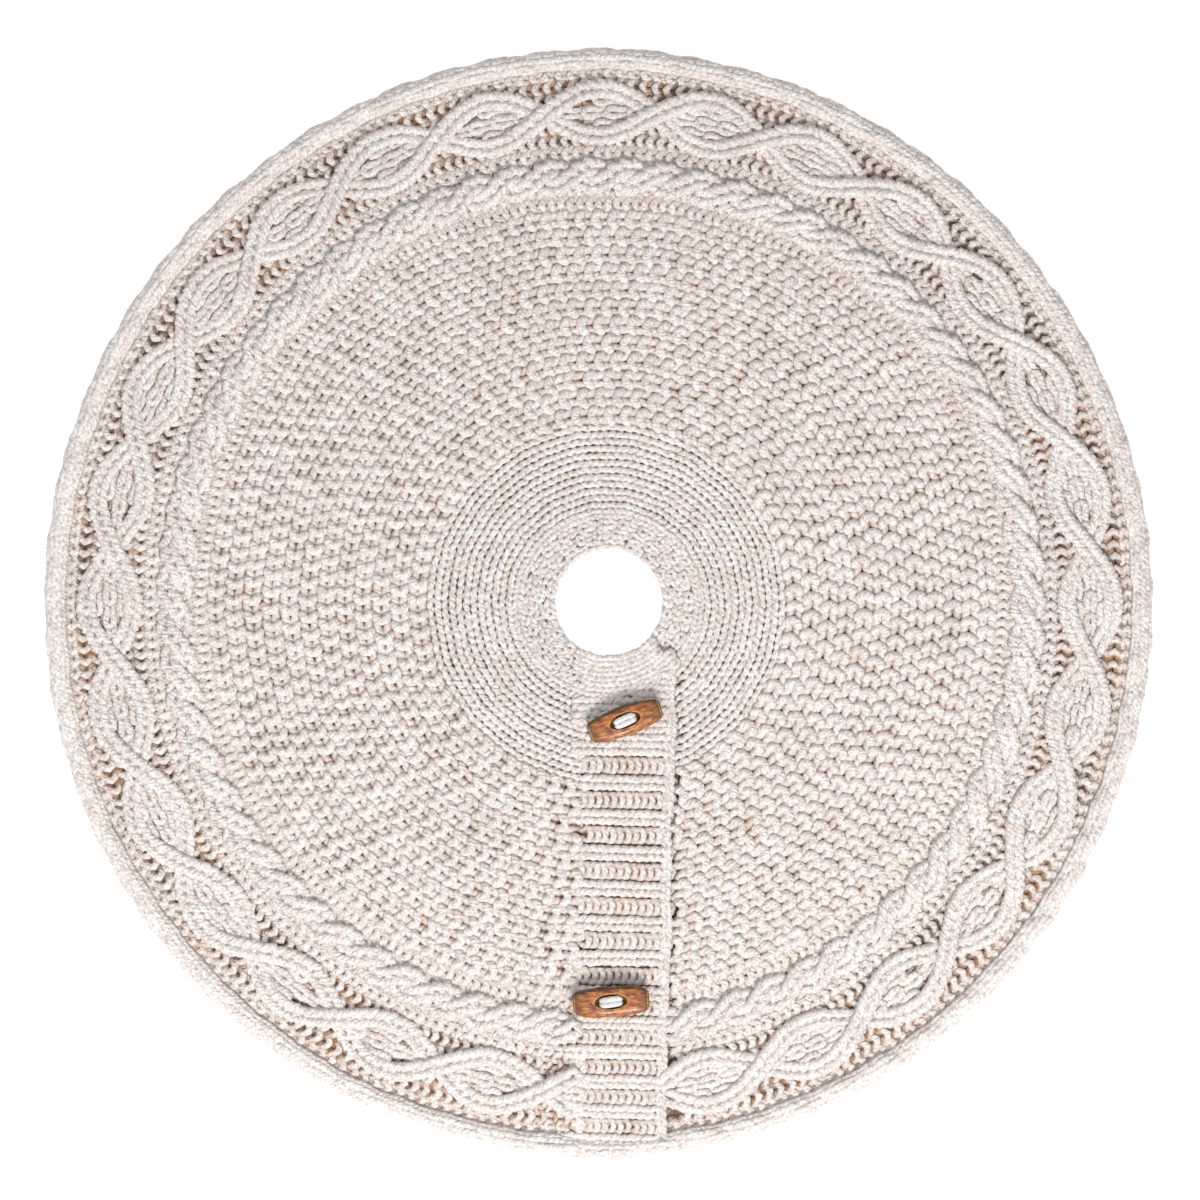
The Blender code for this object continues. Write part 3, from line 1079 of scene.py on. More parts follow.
@dataclass
class RolledHem:
    """The rim's rolled edge: wales of slanting stitches round a roll, with low lumps like a braid."""

    height: float = 0.0076
    roll: float = 0.0054
    reach: float = 0.0032
    wales: int = 3
    courses: int = CABLE_COURSES
    first_turn: float = 2.85
    last_turn: float = -0.75
    lumps: int = 69
    lump_size: float = 0.16
    skew: float = 0.45
    in_lap: bool = False

    def spots(self, plan: Plan, cloth: Cloth) -> Iterator[Spot]:
        """Where the hem's stitches go.

        Args:
            plan: The skirt's layout.
            cloth: The shape that the cloth lies in.

        Yields:
            Each stitch's spot.
        """
        middle = plan.rings["hem_roll"].outer - self.roll - self.reach
        count = WEDGES * self.courses
        width = abs(self.first_turn - self.last_turn) * self.roll / self.wales
        up = Vector((0, 0, 1))
        for order in range(self.wales):
            turn = self.first_turn + (self.last_turn - self.first_turn) * (order + 0.5) / self.wales
            for index in range(count):
                angle = math.tau * (index + 0.5) / count - math.pi / 2
                lump = 1 + self.lump_size * math.sin(angle * self.lumps + turn * 1.6)
                out = Vector((math.cos(angle), math.sin(angle), 0))
                radius = middle + self.roll * lump * math.cos(turn)
                height = self.height + self.roll * lump * math.sin(turn)
                local = plan.local(out.x * radius, out.y * radius)
                if plan.in_closure(*local) is not self.in_lap:
                    continue
                lift = 0 if self.in_lap else cloth.lift(*local) * max(0.0, math.sin(turn))
                along = Vector((-out.y, out.x, 0)) * (math.tau * radius / count)
                across = (out * math.sin(turn) - up * math.cos(turn)) * width
                yield Spot(out * radius + up * (height + lift), across + along * self.skew, along)


@dataclass
class Band:
    """Straight wales across the slit, one below the other, and a chain of stitches down the free side."""

    left: float
    right: float
    middle: float
    relief: float
    course: float = 0.0064
    plain: float = 0.0117
    first_rib: float = -0.119
    upper_pitch: float = 0.029
    lower_pitch: float = 0.0242
    pitch_change: float = -0.300
    ridge_share: float = 0.44
    chain: float = 0.0085

    def rows(self, plan: Plan) -> Iterator[tuple[float, float, Face]]:
        """The band's wales from the neck to the rim.

        Args:
            plan: The skirt's layout.

        Yields:
            Each wale's middle, its width and the side that shows.
        """
        ridge = self.upper_pitch * self.ridge_share
        top, low = -plan.hole_radius * 0.7, self.first_rib + ridge / 2
        count = round((top - low) / self.plain)
        width = (top - low) / count
        for order in range(count):
            yield top - (order + 0.5) * width, width * 1.08, Face.KNIT
        y = self.first_rib
        while y > plan.rim_y(0.0):
            pitch = self.upper_pitch if y > self.pitch_change else self.lower_pitch
            ridge = pitch * self.ridge_share
            yield y, ridge, Face.KNIT
            yield y - pitch / 2, pitch - ridge, Face.PURL
            y -= pitch

    def spots(self, plan: Plan) -> Iterator[Spot]:
        """Where the stitches of the wales go.

        Args:
            plan: The skirt's layout.

        Yields:
            Each stitch's spot.
        """
        count = round((self.right - self.left) / self.course)
        step = (self.right - self.left) / count
        turn = Matrix.Rotation(plan.turn, 3, "Z")
        collar_edge = plan.rings["inner_collar"].outer
        hem = plan.rings["hem_roll"]
        hem_width = hem.outer - hem.inner
        for order, (middle, width, face) in enumerate(self.rows(plan)):
            uneven_start = -(order * 7 % 3 > 0)
            for index in range(uneven_start, count):
                x = self.left + (index + 0.5) * step
                in_collar = math.hypot(x, middle) < collar_edge - 0.3 * width
                past_corner = middle > plan.corner_y(x) - 0.2 * width
                in_hem = middle < plan.rim_y(x) + 0.55 * hem_width
                if in_collar or past_corner or in_hem:
                    continue
                rise = self.relief * face.value
                centre = Vector((*plan.world(x, middle), self.middle + rise))
                across = turn @ Vector((0, -width, 0))
                yield Spot(centre, across, turn @ Vector((step, 0, 0)), face, face)

    def chain_spots(self, plan: Plan) -> Iterator[Spot]:
        """Where the stitches of the free side's chain go.

        Args:
            plan: The skirt's layout.

        Yields:
            Each stitch's spot.
        """
        turn = Matrix.Rotation(plan.turn, 3, "Z")
        x = self.right + self.chain * 0.3
        y, low = plan.corner_y(x) - self.course / 2, plan.rim_y(x) + self.course
        while y > low:
            wander = 0.8 * MM * math.sin(41 * y) + 0.6 * MM * math.sin(113 * y)
            centre = Vector((*plan.world(x + wander, y), self.middle - 0.6 * MM))
            yield Spot(centre, turn @ Vector((-self.chain, 0, 0)), turn @ Vector((0, -self.course, 0)))
            y -= self.course


# Pieces other than stitches.


def linked(name: str, shape: bmesh.types.BMesh, finish: bpy.types.Material) -> bpy.types.Object:
    """Turns a bmesh into an object in the scene.

    Args:
        name: The object's name.
        shape: The bmesh, which is freed.
        finish: The material.

    Returns:
        The object.
    """
    mesh = bpy.data.meshes.new(name)
    shape.to_mesh(mesh)
    shape.free()
    mesh.materials.append(finish)
    mesh.shade_smooth()
    obj = bpy.data.objects.new(name, mesh)
    bpy.context.scene.collection.objects.link(obj)
    return obj


@dataclass
class ShadeSheet:
    """A thin dark sheet of painted shade at the cloth's middle, which closes the view between the stitches.
    """

    plan: Plan
    cloth: Cloth
    thickness: float = 0.0008
    height: float = 0.0036
    rings: int = 40
    steps: int = 180
    inset: float = 0.006
    tongue: float = 0.009

    def round_cloth(self, finish: bpy.types.Material) -> bpy.types.Object:
        """The painted-shade sheet of the round cloth.

        Args:
            finish: The material.

        Returns:
            The sheet.
        """
        plan = self.plan
        shape = bmesh.new()
        inner = plan.hole_radius + self.inset
        outer = plan.rim_radius - 2 * self.inset
        radii = [inner + (outer - inner) * i / self.rings for i in range(self.rings + 1)]
        line = [shape.verts.new((r, 0, 0)) for r in radii]
        edges = [shape.edges.new(pair) for pair in zip(line, line[1:])]
        bmesh.ops.spin(
            shape, geom=line + edges, cent=(0, 0, 0), axis=(0, 0, 1),
            angle=math.tau, steps=self.steps, use_merge=True,
        )
        for vert in shape.verts:
            radius = math.hypot(vert.co.x, vert.co.y)
            vert.co.x += plan.shift(radius)
        gone = [f for f in shape.faces if self._open(f.calc_center_median())]
        bmesh.ops.delete(shape, geom=gone, context="FACES")
        for vert in shape.verts:
            vert.co.z = self.height + self.cloth.lift(*plan.local(vert.co.x, vert.co.y))
        return self._thickened("round_cloth_shade_sheet", shape, finish)

    def _open(self, place: Vector) -> bool:
        """Whether the round cloth is open here: in the closure, but for a tongue under its free side.

        Args:
            place: A place in the world.

        Returns:
            True where the cloth is open.
        """
        x, y = self.plan.local(place.x, place.y)
        tongue = self.tongue if x > 0.5 * self.plan.band_right else 0.0
        return self.plan.in_closure(x + tongue, y, 2 * MM)

    def strip(
        self, name: str, left: float, right: float, height: float, finish: bpy.types.Material,
    ) -> bpy.types.Object:
        """The painted-shade sheet of one band.

        Args:
            name: The piece's name.
            left: The band's left side, in the closure's frame.
            right: Its right side.
            height: Its height.
            finish: The material.

        Returns:
            The sheet.
        """
        plan = self.plan
        shape = bmesh.new()
        bmesh.ops.create_grid(shape, x_segments=16, y_segments=70, size=0.5)
        for vert in shape.verts:
            x = left + (right - left) * (vert.co.x + 0.5)
            hole = plan.hole_radius + self.inset
            top = -math.sqrt(max(hole ** 2 - x * x, 0.0)) if x < hole * math.sqrt(0.5) else plan.corner_y(x)
            low = plan.rim_y(x) + self.inset
            y = low + (top - low) * (vert.co.y + 0.5)
            vert.co = (*plan.world(x, y), height)
        return self._thickened(name, shape, finish)

    def _thickened(
        self, name: str, shape: bmesh.types.BMesh, finish: bpy.types.Material,
    ) -> bpy.types.Object:
        """Gives a sheet its thickness, and marks its upper side, which takes the dark painted shade.

        Args:
            name: The sheet's name.
            shape: The flat sheet, which is used up.
            finish: The material.

        Returns:
            The sheet.
        """
        bmesh.ops.recalc_face_normals(shape, faces=shape.faces[:])
        bmesh.ops.solidify(shape, geom=shape.faces[:], thickness=self.thickness)
        bmesh.ops.recalc_face_normals(shape, faces=shape.faces[:])
        sheet = linked(name, shape, finish)
        top = [float(vert.normal.z > 0) for vert in sheet.data.vertices]
        sheet.data.attributes.new("top", "FLOAT", "POINT").data.foreach_set("value", top)
        return sheet


@dataclass
class ToggleSet:
    """One carved toggle with its yarn, on the joints that turn and rock it."""

    plan: Plan
    side: str
    seed: int
    stations: int = 33
    sides: int = 40
    wobble: float = 0.0007
    boxiness: float = 0.62
    fullness: float = 2.0
    pocket: Triple = (0.0142, 0.0064, 0.0030)
    yarn_reach: float = 0.0078
    hole: float = 0.0033
    drill_length: float = 0.08
    waves: int = 6
    stitch_radius: float = 0.0024
    strand_aside: float = 0.00225
    shank_radius: float = 0.0015
    shank_turns: float = 3.2
    knot_radius: float = 0.0010

    def __post_init__(self) -> None:
        """Reads the toggle's place and size from the frame."""
        swivel = self.plan.joints[f"{self.side}_toggle_swivel"]
        rock = self.plan.joints[f"{self.side}_toggle_rock"]
        self.place = Vector(swivel["pos_m"])
        self.pivot = rock["pos_m"][2]
        axis = Vector(rock["axis"])
        self.angle = math.atan2(-axis.x, axis.y)
        nodes = frame["nodes"][f"{self.side}_toggle"].data.vertices
        back = Matrix.Rotation(-self.angle, 3, "Z")
        corners = [back @ (v.co - self.place) for v in nodes]
        self.length = 2 * max(abs(c.x) for c in corners)
        self.width = 2 * max(abs(c.y) for c in corners)
        self.top = max(c.z for c in corners)
        ends = [c for c in corners if abs(c.x) > 0.49 * self.length]
        self.end_width = 2 * max(abs(c.y) for c in ends)
        self.end_low = min(c.z for c in ends)
        self.end_high = max(c.z for c in ends)
        self.rng = random.Random(SEED + self.seed)

    def _placed(self, shape: bmesh.types.BMesh) -> None:
        """Turns a shape to the toggle's angle and moves it to its place.

        Args:
            shape: The shape, in the toggle's frame.
        """
        turn = Matrix.Rotation(self.angle, 3, "Z")
        bmesh.ops.rotate(shape, verts=shape.verts[:], cent=(0, 0, 0), matrix=turn)
        bmesh.ops.translate(shape, verts=shape.verts[:], vec=(self.place.x, self.place.y, 0))

    def _section(self, share: float) -> tuple[float, float, float]:
        """The bar's outline across its length.

        Args:
            share: How far from its middle, from -1 to 1.

        Returns:
            Its half width, its lowest and its highest height there.
        """
        taper = abs(share) ** self.fullness
        half = (self.width + (self.end_width - self.width) * taper) / 2
        low = self.pivot + (self.end_low - self.pivot) * taper
        high = self.top + (self.end_high - self.top) * taper
        return half, low, high

    def bar(self, finish: bpy.types.Material) -> bpy.types.Object:
        """Carves the bar: a flattened boat shape with blunt ends, a yarn pocket and two holes.

        Args:
            finish: The wood.

        Returns:
            The bar.
        """
        shape = bmesh.new()
        rings = []
        lean = [self.rng.uniform(-1, 1) for _ in range(self.waves)]
        for station in range(self.stations):
            share = -math.cos(math.pi * station / (self.stations - 1))
            half, low, high = self._section(share)
            round_off = 1 - 0.16 * smooth(np.array((abs(share) - 0.93) / 0.07))
            circle = bmesh.ops.create_circle(shape, cap_ends=False, radius=1, segments=self.sides)["verts"]
            for vert in circle:
                turn = math.atan2(vert.co.y, vert.co.x)
                across = math.copysign(abs(math.cos(turn)) ** self.boxiness, math.cos(turn)) * round_off
                up = math.copysign(abs(math.sin(turn)) ** self.boxiness, math.sin(turn)) * round_off
                ripple = sum(
                    push * math.sin((k + 1) * 1.7 * share + (k % 3 + 2) * turn)
                    for k, push in enumerate(lean)
                )
                across *= half + self.wobble * ripple * 0.5
                up *= (high - low) / 2
                vert.co = (share * self.length / 2, across, (low + high) / 2 + up)
            rings.append(circle)
        for first, second in zip(rings, rings[1:]):
            bmesh.ops.bridge_loops(shape, edges=self._edges(first) + self._edges(second))
        for end in (rings[0], rings[-1]):
            bmesh.ops.contextual_create(shape, geom=self._edges(end))
        bmesh.ops.recalc_face_normals(shape, faces=shape.faces[:])
        self._drill(shape)
        self._map(shape)
        self._placed(shape)
        obj = linked(f"{self.side}_toggle_bar", shape, finish)
        self._mark(obj)
        return obj

    def _edges(self, verts: Sequence[bmesh.types.BMVert]) -> list[bmesh.types.BMEdge]:
        """The edges among these vertices."""
        found = set(verts)
        return [e for e in {e for v in verts for e in v.link_edges} if set(e.verts) <= found]

    def _drill(self, shape: bmesh.types.BMesh) -> None:
        """Takes both yarn holes out of the bar, with a Boolean on throwaway objects.

        Args:
            shape: The bar, which is changed.
        """
        mesh = bpy.data.meshes.new("bar_blank")
        shape.to_mesh(mesh)
        blank = bpy.data.objects.new("bar_blank", mesh)
        bpy.context.scene.collection.objects.link(blank)
        cutters = []
        for cut in (self._drill_at(-1), self._drill_at(1), self._scoop()):
            cut_mesh = bpy.data.meshes.new("drill")
            cut.to_mesh(cut_mesh)
            cut.free()
            cutter = bpy.data.objects.new("drill", cut_mesh)
            bpy.context.scene.collection.objects.link(cutter)
            boolean = blank.modifiers.new("hole", "BOOLEAN")
            boolean.object = cutter
            boolean.operation = "DIFFERENCE"
            cutters.append(cutter)
        bpy.context.view_layer.update()
        drilled = bpy.data.meshes.new_from_object(blank.evaluated_get(bpy.context.evaluated_depsgraph_get()))
        shape.clear()
        shape.from_mesh(drilled)
        for obj in (blank, *cutters):
            bpy.data.objects.remove(obj)

    def _drill_at(self, end: int) -> bmesh.types.BMesh:
        """The cutter of one yarn hole.

        Args:
            end: -1 or 1, the side of the bar's middle that it is on.

        Returns:
            The cutter, in the toggle's frame.
        """
        drill = bmesh.new()
        middle = Matrix.Translation((end * self.yarn_reach, 0, self.pivot))
        bmesh.ops.create_cone(
            drill, cap_ends=True, segments=24, radius1=self.hole, radius2=self.hole, depth=self.drill_length,
            matrix=middle,
        )
        return drill

    def _scoop(self) -> bmesh.types.BMesh:
        """The cutter of the oval pocket between and round the holes.

        Returns:
            The cutter, in the toggle's frame.
        """
        scoop = bmesh.new()
        size = Matrix.Diagonal((self.pocket[0], self.pocket[1], self.pocket[2] * 2, 1))
        place = Matrix.Translation((0, 0, self.top + self.pocket[2] * 0.2)) @ size
        bmesh.ops.create_uvsphere(scoop, u_segments=40, v_segments=20, radius=1, matrix=place)
        return scoop

    def _map(self, shape: bmesh.types.BMesh) -> None:
        """Lays a UV map along the bar: u along it, v round it.

        Args:
            shape: The bar before it is put in place.
        """
        layer = shape.loops.layers.uv.new("UVMap")
        for face in shape.faces:
            for corner in face.loops:
                place = corner.vert.co
                u = place.x / self.length + 0.5
                corner[layer].uv = (u, place.y / self.width * 0.5 + place.z / self.width * 0.25)

    def _mark(self, obj: bpy.types.Object) -> None:
        """Stores the bar's painted highlights, on its upper edges, ends and pocket lip, and its painted
        shade, in its pocket and holes and on its shaded sides.

        Args:
            obj: The bar in place.
        """
        back = Matrix.Rotation(-self.angle, 3, "Z")
        edge, painted_shade = [], []
        for vert in obj.data.vertices:
            place = back @ (vert.co - Vector((self.place.x, self.place.y, 0)))
            share = place.x / (self.length / 2)
            half, low, high = self._section(share)
            across = abs(place.y) / half
            upper = (place.z - low) / (high - low)
            # Painted highlight: gold along the upper shoulder of the long sides, full on the -y side, which
            # faces the key light, and a third as strong on the other.
            near = 1.0 if place.y < 0 else 0.35
            rim = near * max(0.0, 1 - abs(across - 0.86) / 0.14) * max(0.0, 1 - abs(upper - 0.72) / 0.28)
            # Painted shade along the +y side, away from the key light.
            far_side_shade = 0.75 * min(1.0, max(0.0, (place.y / half - 0.66) / 0.2))
            # Painted highlight round the ends, stronger on their upper part.
            end = max(0.0, 1 - abs(abs(share) - 0.96) / 0.05) * (0.3 if upper < 0.4 else 0.8)
            oval = math.hypot(place.x / self.pocket[0], place.y / self.pocket[1])
            # Painted highlight round the pocket's lip.
            lip = max(0.0, 1 - abs(oval - 1.0) / 0.12) * (upper > 0.9)
            edge.append(max(rim, end, lip))
            # Painted shade: near black in the holes and the pocket, darker on the lower half of the sides.
            ring = min(math.hypot(place.x - s * self.yarn_reach, place.y) for s in (-1, 1))
            in_hole = ring < self.hole * 1.08 and upper < 0.86
            painted_shade.append(1.0 if in_hole else max(0.9 * (oval < 0.93), 0.6 * (upper < 0.42), far_side_shade))
        for name, values in (("edge", edge), ("painted_shade", painted_shade)):
            obj.data.attributes.new(name, "FLOAT", "POINT").data.foreach_set("value", values)

    def _yarn(
        self, name: str, paths: list[np.ndarray], radius: float, wool: bpy.types.Material, mid: float,
    ) -> bpy.types.Object:
        """Lays lengths of yarn in the toggle's own frame.

        Args:
            name: The piece's name.
            paths: Its paths, in the toggle's frame, all with as many points.
            radius: The yarn's radius.
            wool: The material.
            mid: The height that counts as the yarn's middle.

        Returns:
            The yarn.
        """
        work = YarnWork(name, Yarn(radius, twist=0.008, plump=0.0, ends=0.8))
        turn = np.array(Matrix.Rotation(self.angle, 3, "Z"))
        for path in paths:
            work.add(path @ turn.T + np.array((self.place.x, self.place.y, 0)))
        return work.build(lambda x, y: mid, 4 * MM, wool)

    def stitch(self, wool: bpy.types.Material) -> bpy.types.Object:
        """The yarn across the bar's two holes: two strands side by side.

        Args:
            wool: The material.

        Returns:
            The yarn.
        """
        paths = []
        turn = np.linspace(-1, 1, 15)
        for strand in (-1, 1):
            x = np.sign(turn) * (1 - (1 - np.abs(turn)) ** 2.2) * self.yarn_reach
            up = self.top - 9.0 * MM * np.abs(turn) ** 5 + 0.9 * MM
            y = strand * self.strand_aside * (1 - 0.5 * np.abs(turn) ** 2) + 0.4 * MM * np.sin(turn * 3)
            paths.append(np.stack([x, y, up], axis=1))
        name = f"{self.side}_toggle_yarn"
        return self._yarn(name, paths, self.stitch_radius, wool, self.top - 4 * MM)

    def shank(self, wool: bpy.types.Material) -> bpy.types.Object:
        """The standing strands from the underlap to the bar, with the yarn wound round them.

        Args:
            wool: The material.

        Returns:
            The yarn.
        """
        low = self.plan.underlap_top - 1.2 * MM
        high = self.pivot - 1.4 * MM
        rise = np.linspace(0, 1, 25)
        turn = rise * math.tau * self.shank_turns
        reach = 2.3 * MM + 0.7 * MM * rise ** 2
        paths = []
        for strand in (0, math.pi):
            height = low + 1.4 * MM + (high - low - 2.2 * MM) * rise
            x, y = reach * np.cos(turn + strand), reach * np.sin(turn + strand)
            paths.append(np.stack([x, y, height], axis=1))
        for end in (-1, 1):
            spread = end * (1.2 * MM + 3.4 * MM * smooth((rise - 0.6) / 0.4))
            paths.append(np.stack([spread, 0 * rise, low + (high - low) * rise], axis=1))
        return self._yarn(f"{self.side}_yarn_shank", paths, self.shank_radius, wool, self.plan.lap_bottom)

    def knot(self, wool: bpy.types.Material) -> bpy.types.Object:
        """The flat overhand knot under the underlap.

        Args:
            wool: The material.

        Returns:
            The yarn.
        """
        low, high = (corner.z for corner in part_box(f"{self.side}_yarn_knot"))
        turn = np.linspace(0, math.tau * 1.5, 31)
        reach = 3.9 * MM - 0.9 * MM * np.cos(turn * 2 / 3)
        mid = (low + high) / 2
        wave = mid + 0.2 * MM * np.sin(3 * turn)
        path = np.stack([reach * np.cos(turn), reach * np.sin(turn), wave], axis=1)
        inner = path.copy()
        inner[:, :2] *= 0.42
        return self._yarn(f"{self.side}_knot", [path, inner], self.knot_radius, wool, mid)


# The whole skirt.


@dataclass
class TreeSkirt:
    """Builds every piece; all but the overlap's pieces are joined to bodies of the frame."""

    overlap_middle: float = 0.0120
    overlap_shade_sheet_height: float = 0.0116
    underlap_shade_sheet_height: float = 0.0034

    def __post_init__(self) -> None:
        """Reads the layout and makes the finishes."""
        noise.seed_set(SEED)
        self.plan = Plan()
        self.cloth = Cloth(self.plan)
        self.knitter = Knitter(self.plan, self.cloth, random.Random(SEED))
        self.wool = WoolFinish("cream_wool").build()
        # The gutters' cream wool with a darker, more orange painted shade.
        self.gutter_shade_wool = WoolFinish(
            "gutter_shade_wool", deep=(0.30, 0.15, 0.06), orange_shade=(0.46, 0.21, 0.05), deep_to=0.9,
        ).build()
        # White toggle yarn with only a light painted shade.
        self.white_yarn = WoolFinish(
            "white_yarn", lit=(0.88, 0.87, 0.86), pale=(0.95, 0.95, 0.95), deep=(0.25, 0.2, 0.16),
            deep_from=-1.2, deep_to=0.2,
        ).build()
        # Painted shade for the sheets that show between the stitches.
        self.ground = GapShadeFinish("gap_shade_finish").build()
        self.wood = WoodFinish("varnished_wood").build()

    def _join(self, obj: bpy.types.Object, body: str, slot: str, *nodes: str) -> bpy.types.Object:
        """Joins a piece to a body and reports it.

        Args:
            obj: The piece.
            body: The body's name.
            slot: The record's material slot; not used.
            nodes: The CAD nodes that it stands for.

        Returns:
            The piece.
        """
        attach(obj, body)
        if nodes:
            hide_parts(*nodes)
        LOG.info("%s: %d faces", obj.name, len(obj.data.polygons))
        return obj

    def _overlap(self, obj: bpy.types.Object, *nodes: str) -> bpy.types.Object:
        """Bakes a piece of the overlap where it lies, hides the CAD nodes that it stands for and reports it.

        Args:
            obj: The piece.
            nodes: The CAD nodes that it stands for.

        Returns:
            The piece.
        """
        plan = self.plan
        y = plan.local(plan.hinge.x, plan.hinge.y)[1]
        start = (*plan.world(plan.band_left - 2 * MM, y), plan.lap_bottom)
        end = (*plan.world(plan.band_left + 11 * MM, y), plan.lap_bottom)
        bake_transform(obj)
        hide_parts(*nodes)
        LOG.info("%s: %d faces", obj.name, len(obj.data.polygons))
        return obj

    def _knit(
        self, name: str, spots: Iterable[Spot], yarn: Yarn, loop: Loop, middle: float, flat: bool = False,
    ) -> bpy.types.Object:
        """Knits one piece in the cream wool."""
        return self.knitter.knit(name, spots, yarn, loop, middle, self.wool, flat)

    def _zone(
        self, name: str, zone: RingZone, yarn: Yarn, loop: Loop, wool: bpy.types.Material | None = None,
        orders: range | None = None,
    ) -> bpy.types.Object:
        """Knits a zone of the round cloth, or some of its wales.

        Args:
            name: The piece's name.
            zone: The zone.
            yarn: The yarn.
            loop: The shape of its stitches.
            wool: The yarn's material; the cream wool when left out.
            orders: Which wales; all of them when left out.

        Returns:
            The piece, joined to the skirt.
        """
        spots = zone.spots(self.plan, self.cloth, orders)
        piece = self.knitter.knit(name, spots, yarn, loop, zone.middle, wool or self.wool)
        return self._join(piece, "skirt", "cable_knit", zone.node)

    def round_cloth(self) -> Pieces:
        """Knits the round cloth from the trunk hole out to the rim.

        Returns:
            Its pieces.
        """
        inner = RingZone("inner_collar", COLLAR_COURSES, middle=0.0058, pattern=collar)
        yoke = RingZone("stockinette_yoke", (5, 5, 6, 6, 7, 7), middle=0.0052, pattern=all_knit)
        wales = (8, 8, 8, 10, 10, 12, 12, 12, 14, 14, 16, 16)
        field = RingZone("moss_field", wales, middle=0.0067, pattern=moss)
        pebble = Loop(lean=0.24, depth=0.0024, purl_depth=0.6)
        made = [
            self._zone("collar_stitches", inner, Yarn(0.0024), pebble),
            self._zone("yoke_stitches", yoke, Yarn(0.0026), Loop(depth=0.0018)),
        ]
        seed = Loop(
            lean=0.04, knit_rise=0.34, depth=0.0020, foot=-0.85, knit_width=1.2, purl_width=1.1,
            purl_depth=0.55,
        )
        each = len(wales) // MOSS_PIECES
        for part in range(MOSS_PIECES):
            orders = range(part * each, (part + 1) * each)
            made.append(self._zone(f"moss_stitches_{part + 1}", field, Yarn(0.0038), seed, orders=orders))
        return made + self._gutters() + self._cables()

    def _gutters(self) -> Pieces:
        """Knits the purl wales beside and under the cables.

        Returns:
            Their pieces.
        """
        loop = Loop(lean=0.2, depth=0.0017, foot=0.7, purl_width=1.3)
        made = []
        for node, wales, middle, wool in (
            ("rope_gutter", 1, 0.0060, self.gutter_shade_wool), ("rope_cable", 2, 0.0062, self.wool),
            ("cable_channel", 1, 0.0064, self.wool), ("hem_gutter", 1, 0.0056, self.gutter_shade_wool),
        ):
            zone = RingZone(node, (CABLE_COURSES,) * wales, middle, all_purl)
            made.append(self._zone(f"{node}_purl", zone, CABLE_GROUND_YARN, loop, wool))
        return made

    def _cables(self) -> Pieces:
        """Knits the rope cable, the diamonds and the rolled hem.

        Returns:
            Their pieces.
        """
        plan, cloth = self.plan, self.cloth
        loop = Loop(lean=0.21, depth=0.0011, points=9)
        rope = CableBand(
            "rope_cable", half_turns=71, swing=0.0068, heave=0.0024, middle=0.0102, wale_width=0.0162,
        )
        diamond = CableBand(
            "diamond_cable", half_turns=28, swing=0.0192, heave=0.0020, middle=0.0104, wale_width=0.0156,
        )
        made = []
        for name, band in (("rope_strand", rope), ("diamond_strand", diamond)):
            for strand in (0, 1):
                spots = band.spots(plan, cloth, strand)
                piece = self._knit(f"{name}_{strand + 1}", spots, Yarn(0.0036), loop, band.middle - 2 * MM)
                made.append(self._join(piece, "skirt", "cable_knit", band.node))
        ground = DiamondGround(diamond)
        loop = Loop(lean=0.18, foot=0.4, purl_width=1.2)
        spots = ground.spots(plan, cloth)
        piece = self._knit("diamond_ground", spots, CABLE_GROUND_YARN, loop, ground.middle)
        made.append(self._join(piece, "skirt", "cable_knit", "diamond_cable"))
        hem = RolledHem()
        loop = Loop(lean=0.2, depth=0.0008, points=9)
        piece = self._knit("hem_stitches", hem.spots(plan, cloth), Yarn(0.0030), loop, hem.height + 0.9 * MM)
        return [*made, self._join(piece, "skirt", "cable_knit", "hem_roll")]

    def closure(self) -> tuple[Pieces, Pieces]:
        """Knits the overlap and the underlap.

        Returns:
            The overlap's pieces and the underlap's.
        """
        plan, cloth = self.plan, self.cloth
        loop = Loop(lean=0.2, depth=0.0014, foot=-0.4, purl_depth=0.4)
        over = self.overlap_middle
        band = Band(plan.band_left, plan.band_right - 6 * MM, over, relief=0.0006)
        neck = RingZone("inner_collar", COLLAR_COURSES, over, all_knit, in_lap=True)
        hem = RolledHem(height=plan.lap_bottom + 4.6 * MM, roll=0.0036, reach=0.0026, in_lap=True)
        made = []
        for name, spots, yarn, nodes in (
            ("overlap_ribs", band.spots(plan), Yarn(0.0029), RIB_NODES),
            ("overlap_edge", band.chain_spots(plan), Yarn(0.0023), ("overlap_middle",)),
            ("overlap_neck_stitches", neck.spots(plan, cloth), Yarn(0.0026), ("overlap_neck",)),
            ("overlap_rim", hem.spots(plan, cloth), Yarn(0.0025, 1), ("overlap_hem",)),
        ):
            made.append(self._overlap(self._knit(name, spots, yarn, loop, over, flat=True), *nodes))
        return made, self._underlap()

    def _underlap(self) -> Pieces:
        """Knits the underlap, thinner than the rest.

        Returns:
            Its pieces.
        """
        plan, cloth = self.plan, self.cloth
        loop = Loop(lean=0.15, depth=0.0006, foot=-0.6)
        middle = plan.underlap_top / 2 + 0.2 * MM
        band = Band(plan.underlap_left, plan.band_right, middle, relief=0.0003)
        neck = RingZone("inner_collar", COLLAR_COURSES, middle, all_knit, in_lap=True)
        hem = RolledHem(height=middle, roll=0.0010, reach=0.0022, wales=2, in_lap=True, lump_size=0.0)
        made = []
        for name, spots in (
            ("underlap_ribs", band.spots(plan)), ("underlap_neck", neck.spots(plan, cloth)),
            ("underlap_rim", hem.spots(plan, cloth)),
        ):
            piece = self._knit(name, spots, Yarn(0.0024, 1), loop, middle, flat=True)
            made.append(self._join(piece, "skirt", "rib_knit", "underlap_band"))
        return made

